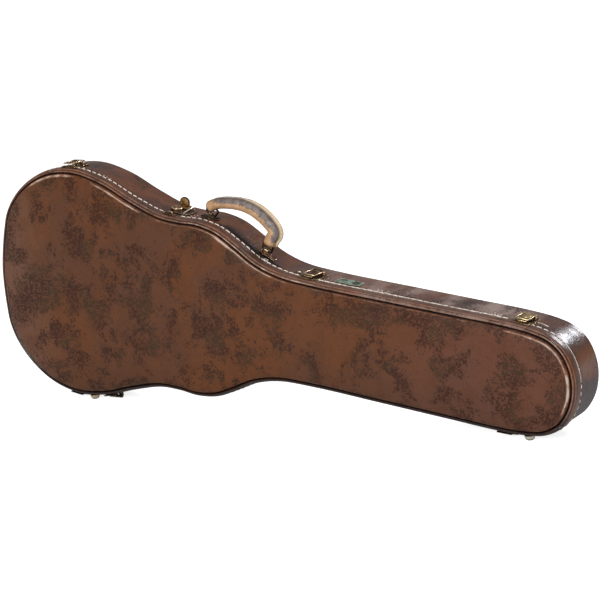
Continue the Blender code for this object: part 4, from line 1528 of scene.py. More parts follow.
@dataclass
class Stitching(Assembly):
    """Cream thread along the sewn band.

    Args:
        depth: depth of the line of stitches.
        pitch: distance from one stitch to the next.
        length: length of one stitch.
        radius: half the thread's thickness.
        frayed: stretch of the handle side where the thread has frayed.
        bare: stretches of that side where a catch covers the thread.
        loose: stretches with loose ends: from, to, how many, how tall in millimetres.
        stray: stretch where one thread lies on the wall.
        end: how far along the case the head end's tight stitches begin.
    """

    depth: float = -23.4 * MM
    pitch: float = 11.0 * MM
    length: float = 8.0 * MM
    radius: float = 0.70 * MM
    frayed: tuple[float, float] = (0.592, 0.955)
    bare: Section = ((0.128, 0.160), (0.334, 0.366), (0.600, 0.633), (0.966, 1.001))
    loose: tuple[tuple[float, float, int, float], ...] = (
        (0.529, 0.537, 5, 5.0), (0.738, 0.756, 9, 5.0), (0.934, 0.950, 8, 5.5),
        (0.198, 0.226, 4, 3.2), (1.040, 1.052, 4, 2.6),
    )
    stray: tuple[float, float] = (0.998, 1.019)
    end: float = 1.046

    def _covered(self, point: RimPoint) -> bool:
        """Whether a catch plate hides the thread here."""
        return point.side is Side.HANDLE and any(a <= point.place.x <= b for a, b in self.bare)

    def stitches(self) -> None:
        """Separate stitches all round, looser where the thread has frayed."""
        rng = random.Random(5)
        bm = bmesh.new()
        deep = self.plan.matrix.to_3x3() @ THROUGH
        for place, run, out, point in self.plan.travelled(-2.45 * MM, self.depth, self.pitch):
            if self._covered(point):
                continue
            frayed = point.side is Side.HANDLE and self.frayed[0] < point.place.x < self.frayed[1]
            slant = deep * (rng.uniform(-0.4, 0.4) * MM)
            half = self.length / 2 * rng.uniform(0.86, 1.10)
            if point.side is Side.HANDLE:
                place = place - deep * (2.0 * MM * bell(point.place.x / MM, 90, 280, 70))
            lift = rng.uniform(0.15, 0.35) * MM
            radius = self.radius
            if point.place.x > self.end:
                worn = point.place.y < 0.014
                half = 2.7 * MM if worn else self.pitch * 0.52
                radius *= 0.85 if worn else 0.62
            sunk, near = out * 0.7 * MM, run * half * 0.82
            path = [place - run * half - sunk - slant, place - near + out * lift - slant,
                    place + out * (lift + 0.15 * MM),
                    place + near + out * lift + slant, place + run * half - sunk + slant]
            sweep(bm, path, [radius * s for s in (0.7, 1.0, 1.08, 1.0, 0.7)], 5)
            if frayed:
                self._fray(bm, rng, place, run, out, deep)
        self.shop.piece("band_stitching", bm, Body.LID, Slot.COVERING, "thread", sharp=70.0)

    def _fray(self, bm: Mesh, rng: random.Random, place: Vector, run: Vector, out: Vector, deep: Vector) -> None:
        """Loose zigzag strands over one stitch.

        Args:
            bm: mesh to add to.
            rng: source of their unevenness.
            place: middle of the stitch.
            run: direction along the outline.
            out: direction outwards.
            deep: direction through the case.
        """
        for k in range(3):
            start = place + run * ((k - 1.5) * 4.4 * MM + rng.uniform(-0.6, 0.6) * MM)
            rise = rng.uniform(0.5, 1.2)
            bends = ((0.0, -1.3, 0.1), (1.3, 0.2, rise), (2.6, 1.6, 0.1), (4.2, -1.1, 0.35))
            path = [start + run * a * MM + deep * b * MM + out * c * MM for a, b, c in bends]
            sweep(bm, smooth_path(path, 2), 0.30 * MM, 4)

    def tufts(self) -> None:
        """Loose ends of thread that stand up from the seam."""
        rng = random.Random(11)
        bm = bmesh.new()
        for low, high, count, tall in self.loose:
            spots = self.plan.travelled(-2.3 * MM, self.depth, (high - low) / count, Side.HANDLE, (low, high))
            for place, run, out, _ in spots:
                sway = run * rng.uniform(-3.2, 3.2) * MM
                back = THROUGH * rng.uniform(-1.0, 3.4) * MM
                top = out * (tall * rng.uniform(0.45, 1.0) * MM)
                bends = [place - out * 0.5 * MM, place + top * 0.55 + sway * 0.25,
                         place + top + sway * 0.7 + back * 0.5, place + top * 0.8 + sway * 1.2 + back]
                path = smooth_path(bends, 2)
                sizes = [0.36 * MM * (1.0 - 0.6 * i / (len(path) - 1)) for i in range(len(path))]
                sweep(bm, path, sizes, 4)
        spots = self.plan.travelled(-0.2 * MM, -4.0 * MM, 3.0 * MM, Side.HANDLE, self.stray)
        stray = [place + out * rng.uniform(0.2, 0.9) * MM + THROUGH * rng.uniform(-0.7, 0.7) * MM
                 for place, _, out, _ in spots]
        sweep(bm, smooth_path(stray, 2), 0.50 * MM, 5)
        self.shop.piece("loose_threads", bm, Body.LID, Slot.COVERING, "thread", sharp=70.0)

    def build(self) -> None:
        """Makes the thread."""
        self.stitches()
        self.tufts()


# --- metalwork

def rivet(bm: Mesh, x: float, y: float, z: float, radius: float = 1.5) -> list[Vert]:
    """Domed rivet head on a plate whose surface is at height z."""
    dome = [(radius * across, z + radius * up) for across, up in ((0.0, 0.62), (0.42, 0.55), (0.78, 0.34))]
    return lathe(bm, dome + [(radius, z + 0.08), (radius, z - 0.3), (0.0, z - 0.3)], (x, y, 0.0), 12)


def rod(bm: Mesh, start: Triple, end: Triple, radius: float, segments: int = 16) -> list[Vert]:
    """Round bar with softened ends.

    Args:
        bm: mesh to add to.
        start: one end.
        end: the other end.
        radius: its radius.
        segments: sides of its section.

    Returns:
        Its vertices.
    """
    a, b = Vector(start) * MM, Vector(end) * MM
    along = (b - a).normalized() * min(radius * 0.25, 0.4) * MM
    sizes = [radius * share * MM for share in (0.8, 1.0, 1.0, 0.8)]
    return sweep(bm, [a, a + along, b - along, b], sizes, segments)


def points_mm(*places: Triple) -> list[Vector]:
    """Points given in millimetres."""
    return [Vector(place) * MM for place in places]


def joint_frame(joint: dict, turn: float) -> Matrix:
    """Frame at a joint: X along its axis times turn, Y through the case, Z outwards."""
    run = Vector(joint["axis"]).normalized() * turn
    return axes_frame(run, THROUGH, run.cross(THROUGH).normalized(), Vector(joint["pos_m"]))


@dataclass
class Latch(Assembly):
    """Hasp latch: base plate, lever on a pin, and catch on the band.

    Args:
        key: which of the three it is.
        body: the body of its lever.
        u: place along the case.
        pivot: frame of its lever, from the joint.
        lever_finish: finish of the lever.
        pin: the pin's place over the base plate, as (depth, height).
    """

    key: str
    body: Body
    u: float
    pivot: Matrix
    lever_finish: str = "brass_lever"
    pin: tuple[float, float] = (1.5, 4.6)

    def base_plate(self, bm: Mesh) -> None:
        """Plate on the base wall, with ears and the pin.

        Args:
            bm: mesh to add to.
        """
        slab(bm, (28, 28, 1.2), (0, -3.4, 0.6), 3.2, 0.35)
        for side in (-1, 1):
            slab(bm, (2.0, 5.2, 5.2), (side * 6.5, 1.5, 3.1), 0.0, 0.4)
            rod(bm, (side * 5.6, *self.pin), (side * 7.4, *self.pin), 2.4)
            for y in (7.6, -14.6):
                rivet(bm, side * 11.7, y, 1.2)
        rod(bm, (-9.6, *self.pin), (9.6, *self.pin), 1.0, 12)
        slab(bm, (9.0, 6.0, 1.6), (0, 7.2, 1.9), 1.2, 0.4)

    def lever(self, bm: Mesh) -> None:
        """Lever with folded cheeks, a pressed field and a curled lip.

        Args:
            bm: mesh to add to.
        """
        slab(bm, (21, 30.6, 1.1), (0, -13.8, 3.9), 2.6, 0.35, 5)
        slab(bm, (13.6, 17.0, 0.9), (0, -13.2, 4.65), 4.6, 0.42, 5)
        for side in (-1, 1):
            slab(bm, (1.2, 6.0, 6.4), (side * 8.6, -0.7, 1.0), 0.0, 0.3)
            rod(bm, (side * 8.0, 0, 0.0), (side * 9.3, 0, 0.0), 2.2)
            mark(bm, "edge", rod(bm, (side * 10.0, -28.0, 4.3), (side * 10.0, -1.0, 4.3), 0.75, 8), 1.3)
        mark(bm, "edge", rod(bm, (-10.2, -28.9, 4.0), (10.2, -28.9, 4.0), 1.0, 12), 1.3)

    def catch(self, bm: Mesh) -> None:
        """Plate on the band with the lug that the lip closes over.

        Args:
            bm: mesh to add to.
        """
        slab(bm, (32, 11.5, 1.1), (0, -27.0, 0.55), 3.4, 0.3)
        slab(bm, (14, 3.0, 2.2), (0, -24.6, 1.9), 0.0, 0.6)
        for side in (-1, 1):
            rivet(bm, side * 12.9, -27.2, 1.1, 1.6)

    def build(self) -> None:
        """Makes the three pieces."""
        base = self.pivot @ moved_mm(0, -self.pin[0], -self.pin[1])
        seat = self.plan.seat(self.u, Side.HANDLE, 0.0, 16 * MM, self.plan.band_out)
        name, node = f"{self.key}_latch_", f"latch_{self.key}_"
        self.shop.metal(name + "base", self.base_plate, base, Body.BASE, "brass_plate", node + "plate")
        self.shop.metal(name + "arm", self.lever, self.pivot, self.body, self.lever_finish, node + "lever")
        self.shop.metal(name + "keeper", self.catch, seat, Body.LID, "brass_plate", node + "catch")


@dataclass
class LockLatch(Assembly):
    """Lock with a round case, its key plug, and a rounded flap that stands open.

    Args:
        u: place along the case.
        pivot: frame of the flap's hinge, from the joint.
        pin: the hinge pin's place over the back plate, as (depth, height).
    """

    u: float
    pivot: Matrix
    pin: tuple[float, float] = (9.6, 3.4)

    def plate(self, bm: Mesh) -> None:
        """Plate with the flap's posts and pin, and a bar at its right.

        Args:
            bm: mesh to add to.
        """
        slab(bm, (36, 33, 1.2), (4, 4.0, 0.6), 3.4, 0.35)
        for side in (-1, 1):
            post = slab(bm, (3.0, 5.0, 3.6), (side * 11.5, 9.6, 2.5), 0.0, 0.4)
            mark(bm, "soil", post + rod(bm, (side * 10.1, *self.pin), (side * 12.9, *self.pin), 2.1))
        mark(bm, "soil", rod(bm, (-12.4, *self.pin), (12.4, *self.pin), 0.9, 12))
        for x, y in ((18.6, -9.2), (18.8, 17.2), (-10.6, 17.2)):
            rivet(bm, x, y, 1.2, 1.6)
        line = points_mm((14.8, -10.6, 1.4), (15.2, -9.2, 3.4), (16.8, 0.0, 6.2), (18.4, 9.0, 8.6),
                         (18.8, 10.6, 7.0), (19.0, 11.4, 2.0))
        mark(bm, "edge", sweep(bm, line, 1.2 * MM, 10), 1.5)

    def case(self, bm: Mesh) -> None:
        """Round case like a thick ring."""
        lathe(bm, [(4.4, 1.0), (4.4, 4.1), (6.4, 4.2), (6.9, 4.6), (7.3, 5.1), (8.0, 5.3), (8.8, 4.9),
                   (9.3, 4.0), (9.4, 1.2), (9.4, 0.0), (4.4, 0.0), (4.4, 1.0)], steps=40)

    def plug(self, bm: Mesh) -> None:
        """Key plug with its slot.

        Args:
            bm: mesh to add to.
        """
        face, width, length, sunk = 3.7, 0.6, 2.3, 1.6
        lathe(bm, [(0.0, face), (3.3, face), (3.8, 3.5), (4.0, 3.1), (4.0, 0.0), (0.0, 0.0)], steps=24)
        for x, y in ((width, 0), (-width, 0), (0, length), (0, -length)):
            geom = list(bm.verts) + list(bm.edges) + list(bm.faces)
            normal = Vector((1, 0, 0)) if x else Vector((0, 1, 0))
            bmesh.ops.bisect_plane(bm, geom=geom, plane_co=Vector((x, y, 0)) * MM, plane_no=normal, dist=1e-7)
        middles = [(f, f.calc_center_median() / MM) for f in bm.faces]
        slot = [f for f, m in middles if abs(m.x) < width - 0.01 and abs(m.y) < length - 0.05 and m.z > face - 0.2]
        made = bmesh.ops.extrude_face_region(bm, geom=slot)
        fresh = [g for g in made["geom"] if isinstance(g, Vert)]
        bmesh.ops.translate(bm, vec=Vector((0, 0, -sunk * MM)), verts=fresh)
        bmesh.ops.delete(bm, geom=[f for f in slot if f.is_valid], context="FACES_ONLY")

    def flap(self, bm: Mesh) -> None:
        """Rounded flap on a step beside its knuckle, with a pressed ring.

        Args:
            bm: mesh to add to.
        """
        step = rod(bm, (-9.6, 0, 0), (9.6, 0, 0), 2.1) + slab(bm, (18.6, 3.8, 1.3), (0, 2.6, 1.2), 0.0, 0.3)
        mark(bm, "soil", step, 0.8)
        slab(bm, (17.0, 1.2, 7.0), (0, 4.45, 4.1), 0.0, 0.3)
        fresh = lathe(bm, [(0.0, 0.9), (5.2, 0.9), (6.2, 0.6), (7.4, 0.55), (8.4, 0.8), (9.2, 0.7),
                           (9.6, 0.2), (9.6, -0.4), (9.2, -0.6), (0.0, -0.6)], steps=36)
        mark(bm, "soil", [v for v in fresh if v.co.xy.length > 7.8 * MM])
        mark(bm, "edge", [v for v in fresh if v.co.xy.length < 7.0 * MM], 0.7)
        turn = Matrix.Rotation(math.radians(-14), 4, "Y") @ Matrix.Rotation(QUARTER, 4, "X")
        place = moved_mm(-2.2, 4.45, 8.9) @ turn
        bmesh.ops.transform(bm, matrix=place @ Matrix.Diagonal((1.04, 0.90, 1.0, 1.0)), verts=fresh)

    def catch(self, bm: Mesh) -> None:
        """Plate on the band with a low staple.

        Args:
            bm: mesh to add to.
        """
        slab(bm, (26, 9.5, 1.1), (-2, -27.0, 0.55), 2.8, 0.3)
        line = points_mm((-6.4, -26, 0.6), (-6.2, -26, 2.6), (-4.8, -26, 3.4), (0.8, -26, 3.4),
                         (2.2, -26, 2.6), (2.4, -26, 0.6))
        sweep(bm, smooth_path(line, 2), 0.85 * MM, 8)
        for x in (-12.4, 8.4):
            rivet(bm, x, -27.2, 1.1, 1.4)

    def build(self) -> None:
        """Makes the five pieces."""
        base = self.pivot @ moved_mm(0, -self.pin[0], -self.pin[1])
        seat = base @ moved_mm(-5.5, -3.0, 1.5)
        raised = seat @ moved_mm(0, 0, 1.3)
        keeper = self.plan.seat(self.u, Side.HANDLE, 0.0, 16 * MM, self.plan.band_out)
        for name, shape, place, body, finish, node in (
                ("back_plate", self.plate, base, Body.BASE, "brass_lock", "plate"),
                ("round_case", self.case, seat, Body.BASE, "brass_red", "case"),
                ("key_plug", self.plug, raised, Body.PLUG, "brass_plate", "plug"),
                ("round_flap", self.flap, self.pivot, Body.FLAP, "brass_flap", "flap"),
                ("keeper", self.catch, keeper, Body.LID, "brass_red", "catch")):
            self.shop.metal("lock_" + name, shape, place, body, finish, "lock_" + node)


@dataclass
class Handle(Assembly):
    """Moulded leather grip with a sewn fin, on two wire loops in riveted saddles.

    Args:
        swing_butt: middle of the butt's saddle, as (u, y, v).
        swing_head: middle of the other saddle.
        line_mm: middle of the grip, as (u, v).
        size_mm: half its thickness at those points.
        fin_mm: height of its fin there.
        steps: stations from one point to the next.
        wire: radius of the loops' wire.
    """

    swing_butt: Vector = field(default_factory=lambda: Vector((413.0, -1.0, 151.0)) * MM)
    swing_head: Vector = field(default_factory=lambda: Vector((521.0, -1.0, 108.5)) * MM)
    line_mm: Section = (
        (410.2, 161.6), (418.4, 166.8), (431.0, 171.4), (451.0, 174.6), (472.0, 175.2),
        (491.0, 172.6), (509.0, 165.6), (526.0, 154.5), (537.0, 141.5), (531.5, 130.5), (527.6, 120.4),
    )
    size_mm: Sequence[float] = (8.8, 8.8, 9.0, 9.4, 10.0, 10.8, 11.4, 11.4, 10.6, 11.0, 11.8)
    fin_mm: Sequence[float] = (0.3, 0.6, 0.9, 1.2, 1.8, 2.6, 3.4, 4.0, 4.6, 3.4, 0.8)
    steps: int = 6
    wire: float = 1.6 * MM

    def _value(self, table: Sequence[float], t: float) -> float:
        """Reads a table at a fraction of the grip's length."""
        place = t * (len(table) - 1)
        i = min(int(place), len(table) - 2)
        return table[i] + (table[i + 1] - table[i]) * ease(place - i)

    def _stations(self) -> list[tuple[Vector, Vector, Vector, float]]:
        """Stations along the grip.

        Returns:
            Middle, direction, outward direction and fraction of its length.
        """
        line = smooth_path([Vector((u, -1.0, v)) * MM for u, v in self.line_mm], self.steps)
        last = len(line) - 1
        found = []
        for i, point in enumerate(line):
            along = (line[min(i + 1, last)] - line[max(i - 1, 0)]).normalized()
            found.append((point, along, Vector((-along.z, 0.0, along.x)), i / last))
        return found

    def _section(self, size: float, fin: float) -> Section:
        """Teardrop drawn up to a doubled fin.

        Args:
            size: half its thickness, in millimetres.
            fin: height of the fin.

        Returns:
            Its corners, as (across, outwards).
        """
        turns = (math.radians(152 + 11.8 * k) for k in range(21))
        round_part = [(size * 0.98 * math.cos(a), size * math.sin(a)) for a in turns]
        flank = [(size * 0.70, size * 0.72), (size * 0.42, size * 0.90), (2.1, size + 0.05 * fin),
                 (1.75, size + 0.35 * fin), (1.75, size + 0.85 * fin), (1.2, size + fin)]
        return round_part + flank + [(0.0, size + fin * 0.94)] + [(-a, b) for a, b in reversed(flank)]

    def grip(self) -> None:
        """Leather grip."""
        bm = bmesh.new()
        corner = bm.verts.layers.int.new("corner")
        for name in ("wear", "soil", "crest"):
            bm.verts.layers.float.new(name)
        wear, soil, crest = (bm.verts.layers.float.get(name) for name in ("wear", "soil", "crest"))
        count, end = len(self._section(1.0, 1.0)), 0.02
        made = bmesh.ops.create_circle(bm, cap_ends=False, segments=count, radius=1.0)
        ring, edges = list(made["verts"]), list(bm.edges)
        first = list(edges)
        for i, vert in enumerate(ring):
            vert[corner] = i
        for k, (point, _, out, t) in enumerate(self._stations()):
            if k:
                ring, edges = next_ring(bm, edges)
            size, fin = self._value(self.size_mm, t), self._value(self.fin_mm, t)
            close = 1.0 - 0.12 * (1.0 - min(t, 1.0 - t, end) / end)
            section = self._section(size * close, fin)
            for vert in ring:
                a, b = section[vert[corner]]
                vert.co = point + THROUGH * (a * MM) + out * (b * MM)
                vert[wear] = bell(b / size, 0.62, 1.0, 0.84) * bell(t, 0.22, 0.84, 0.14)
                vert[crest] = (1.0 if b > size * 1.01 else 0.0) * bell(t, 0.55, 1.2, 0.3)
                # Painted shade in the crease at the fin's foot, under the grip and at its ends.
                creases = (0.75 * bell(b / size, 0.86, 0.98, 0.06), 0.9 * bell(-b / size, 0.86, 1.1, 0.1),
                           bell(t, -0.1, 0.01, 0.03), bell(t, 0.985, 1.1, 0.03))
                vert[soil] = 0.9 * max(creases)
        bmesh.ops.edgeloop_fill(bm, edges=first)
        bmesh.ops.edgeloop_fill(bm, edges=edges)
        bmesh.ops.recalc_face_normals(bm, faces=bm.faces)
        self.stand(bm)
        self.shop.piece("leather_grip", bm, Body.HANDLE, Slot.LEATHER, "handle_leather", ["handle_grip"], sharp=48.0)

    def seam(self) -> None:
        """Stitches on both faces of the fin."""
        bm = bmesh.new()
        stations = self._stations()
        face, half, bare = 1.78, 1.15, 4
        for side in (-1.0, 1.0):
            lift = THROUGH * side
            for k in range(bare, len(stations) - bare):
                point, along, out, t = stations[k]
                size, fin = self._value(self.size_mm, t), self._value(self.fin_mm, t)
                spot = (point + stations[k + 1][0]) / 2 + (out * (size + fin * 0.60) + lift * face) * MM
                bends = ((-1.0, -0.35), (-0.6, 0.22), (0.6, 0.22), (1.0, -0.35))
                sweep(bm, [spot + (along * half * a + lift * b) * MM for a, b in bends], 0.33 * MM, 5)
        self.stand(bm)
        self.shop.piece("grip_stitching", bm, Body.HANDLE, Slot.LEATHER, "thread", sharp=70.0)

    def loops(self) -> None:
        """Closed wire loops through the ends of the grip."""
        along = (self.swing_head - self.swing_butt).normalized()
        out = Vector((-along.z, 0.0, along.x))
        for key, centre, low, high, lift in (("butt", self.swing_butt, 8.6, 12.4, 12.0),
                                             ("head", self.swing_head, 8.6, 10.6, 19.0)):
            corners = [centre + (along * a + out * b) * MM
                       for a, b in ((-low, 0.0), (low, 0.0), (high, lift), (-high, lift))]
            bm = bmesh.new()
            sweep(bm, rounded_loop(corners, 2.8 * MM), self.wire, 14, closed=True)
            if key == "head":
                folded = slab(bm, (15.6, 4.4, 9.0), (0.0, 0.0, 9.2), 0.0, 0.5)
                bmesh.ops.transform(bm, matrix=axes_frame(along, THROUGH, out, centre), verts=folded)
            self.stand(bm)
            self.shop.piece(f"{key}_wire_loop", bm, Body.HANDLE, Slot.BRASS, "brass_dark", [f"handle_loop_{key}"])

    def brackets(self) -> None:
        """Riveted plates whose saddles hold the loops."""
        swing = (self.swing_head - self.swing_butt).normalized()
        for key, centre, finish in (("butt", self.swing_butt, "brass_dark"), ("head", self.swing_head, "brass_red")):
            seat = self.plan.seat(centre.x, Side.HANDLE, -1.0 * MM, 17 * MM)
            inverse = (self.plan.matrix.inverted() @ seat).inverted()
            eye = inverse @ centre / MM
            along = (inverse.to_3x3() @ swing).normalized()

            def shape(bm: Mesh, eye: Vector = eye, along: Vector = along) -> None:
                """Plate, saddle and rivets.

                Args:
                    bm: mesh to add to.
                    eye: middle of the saddle over the plate, in millimetres.
                    along: direction of the wire through it.
                """
                slab(bm, (34, 12.5, 1.4), (0, 0, 0.7), 3.6, 0.4, 5)
                slab(bm, (9.0, 17.0, 1.2), (eye.x, 0, 0.6), 3.0, 0.3, 5)
                rod(bm, eye - along * 3.1, eye + along * 3.1, 3.2, 20)
                slab(bm, (6.2, 6.2, eye.z - 0.6), (eye.x, 0, eye.z / 2 + 0.2))
                for x, grime_and_shade in ((-13.0, 0.2), (13.0, 0.75)):
                    for y in (-3.0, 3.0):
                        mark(bm, "soil", rivet(bm, x, y, 1.4, 1.5), grime_and_shade)

            self.shop.metal(f"{key}_handle_saddle", shape, seat, Body.BASE, finish, f"handle_bracket_{key}")

    def build(self) -> None:
        """Makes the handle."""
        self.grip()
        self.seam()
        self.loops()
        self.brackets()


@dataclass
class Hinges(Assembly):
    """Three butt hinges under the case on one straight axis.

    Args:
        places: name and place along the case of each.
        axis_z: height of the axis, in millimetres.
        knuckle: radius of the knuckles, in millimetres.
    """

    places: tuple[tuple[str, float], ...] = (("butt", 0.155), ("bout", 0.227), ("head", 0.968))
    axis_z: float = 3.9
    knuckle: float = 2.6

    def leaf(self, key: str, u: float, part: str, spans: Section) -> None:
        """One leaf with its knuckles.

        Args:
            key: which hinge it is of.
            u: place along the case.
            part: "base" or "lid", the shell that it is on.
            spans: where its knuckles are, in millimetres from the middle.
        """
        sign, lift, body = (1.0, 0.0, Body.BASE) if part == "base" else (-1.0, self.plan.band_out, Body.LID)
        seat = self.plan.seat(u, Side.HINGE, 0.0, 13.5 * MM, lift)
        x, parting = self.middle(u).x / MM, self.plan.parting / MM
        bm = bmesh.new()
        slab(bm, (26, 15.8, 1.2), (0, parting + sign * 11.1, 0.6), 2.6, 0.3)
        for across, y in ((-9.2, 14.8), (9.2, 14.8), (0.0, 8.2)):
            rivet(bm, across, parting + sign * y, 1.2, 1.6)
        bmesh.ops.transform(bm, matrix=seat, verts=bm.verts)
        near, far = parting + sign * 1.6, parting + sign * 4.6
        for a, b in spans:
            rod(bm, (x + a, parting, self.axis_z), (x + b, parting, self.axis_z), self.knuckle, 20)
            top = (seat @ (Vector((-(a + b) / 2, parting + sign * 4.4, 0.6)) * MM)).z / MM - 0.2
            slab(bm, (b - a, abs(far - near), top - self.axis_z),
                 (x + (a + b) / 2, (near + far) / 2, (self.axis_z + top) / 2), 0.0, 0.2)
        self.shop.piece(f"{key}_hinge_{part}", bm, body, Slot.BRASS, "brass_hinge_shadow_dark", [f"hinge_{key}_{part}_leaf"])

    def middle(self, u: float) -> Vector:
        """Point of the outline that a hinge hangs under."""
        spot = self.plan.at(u, Side.HINGE).place
        return self.plan.world(spot.x, 0.0, spot.y)

    def pin(self, bm: Mesh) -> None:
        """Pin with upset heads.

        Args:
            bm: mesh to add to.
        """
        head = [(0.0, 14.3), (1.5, 14.2), (2.0, 13.8), (2.0, 13.4), (1.3, 13.4)]
        foot = [(1.3, -13.4), (2.0, -13.4), (2.0, -13.8), (1.5, -14.2), (0.0, -14.3)]
        lathe(bm, head + foot, steps=16)

    def build(self) -> None:
        """Makes the leaves and pins."""
        for key, u in self.places:
            self.leaf(key, u, "base", ((-13.0, -4.8), (4.8, 13.0)))
            self.leaf(key, u, "lid", ((-4.3, 4.3),))
            place = Matrix.Translation((self.middle(u).x, self.plan.parting, self.axis_z * MM))
            lying = place @ Matrix.Rotation(QUARTER, 4, "Y")
            self.shop.metal(f"{key}_hinge_rod", self.pin, lying, Body.BASE, "brass_hinge_shadow_dark", f"hinge_{key}_pin")


@dataclass
class SmallParts(Assembly):
    """Glide feet, the bare label plate and the round stud.

    Args:
        label_u: place of the label along the case.
        stud_u: place of the stud.
    """

    label_u: float = 0.6745
    stud_u: float = 0.5835

    def feet(self) -> None:
        """Four domed glides on the hinge side."""
        for shell, body in (("lid", Body.LID), ("base", Body.BASE)):
            for key, finish in (("butt", "brass_foot"), ("head", "pale_foot")):
                node = f"{shell}_foot_{key}"
                low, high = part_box(node)
                middle, top = (Vector(low) + Vector(high)) / 2, high[2] / MM
                dome = top - 1.3
                turns = (math.radians(9.6 * k) for k in range(1, 8))
                line = [(0.0, top), (7.9, top), (8.0, top - 0.5), (7.8, dome)]
                line += [(2.7 + 5.0 * math.cos(a) ** 0.9, dome * (1.0 - math.sin(a) ** 1.05)) for a in turns]
                line += [(3.0, 0.12), (2.5, 0.0), (0.0, 0.0)]

                def glide(bm: Mesh, line: Section = tuple(line), dirty: float = 0.42 * dome) -> None:
                    """Turned dome, with painted shade where it meets the ground."""
                    lathe(bm, line, steps=32)
                    # Painted shade on the lowest part of the dome.
                    mark(bm, "soil", [vert for vert in bm.verts if vert.co.z < dirty * MM], 0.9)

                place = Matrix.Translation((middle.x, middle.y, 0.0))
                self.shop.metal(f"{shell}_{key}_glide", glide, place, body, finish, node)

    def label(self) -> None:
        """Bare aged plate with a raised border and four pins."""
        bm = bmesh.new()
        slab(bm, (44.6, 20.6, 0.55), (0, 0, 0.28), 1.0, 0.15)
        soil = bm.verts.layers.float.new("soil")
        bm.verts.layers.int.new("corner")
        plate = set(bm.verts)
        corners = points_mm((-21.6, -9.6, 0.5), (21.6, -9.6, 0.5), (21.6, 9.6, 0.5), (-21.6, 9.6, 0.5))
        sweep(bm, rounded_loop(corners, 1.2 * MM, 3), 0.42 * MM, 6, closed=True)
        for x in (-19.8, 19.8):
            for y in (-7.8, 7.8):
                rivet(bm, x, y, 0.5, 0.8)
        for vert in bm.verts:
            vert[soil] = 0.0 if vert in plate else 1.0
        seat = self.plan.seat(self.label_u, Side.HANDLE, 0.5 * MM, 22.5 * MM)
        bmesh.ops.transform(bm, matrix=seat, verts=bm.verts)
        self.shop.piece("bare_label", bm, Body.BASE, Slot.LABEL, "aged_label", ["label_plate"])

    def cap(self, bm: Mesh) -> None:
        """Stud with a rubbed crown in a grimy flange.

        Args:
            bm: mesh to add to.
        """
        lathe(bm, [(0.0, 2.3), (1.6, 2.25), (2.4, 1.9), (3.0, 1.2), (3.9, 1.3), (4.7, 1.2), (5.3, 0.7),
                   (5.4, 0.0), (0.0, 0.0)], steps=28)
        mark(bm, "edge", [vert for vert in bm.verts if vert.co.xy.length < 2.7 * MM], 1.2)
        mark(bm, "soil", [vert for vert in bm.verts if vert.co.xy.length > 2.9 * MM], 0.9)

    def build(self) -> None:
        """Makes the small parts."""
        self.feet()
        self.label()
        seat = self.plan.seat(self.stud_u, Side.HANDLE, -8.0 * MM, 5.5 * MM)
        self.shop.metal("round_stud", self.cap, seat, Body.BASE, "brass_lever", "strap_stud")


# --- the inside

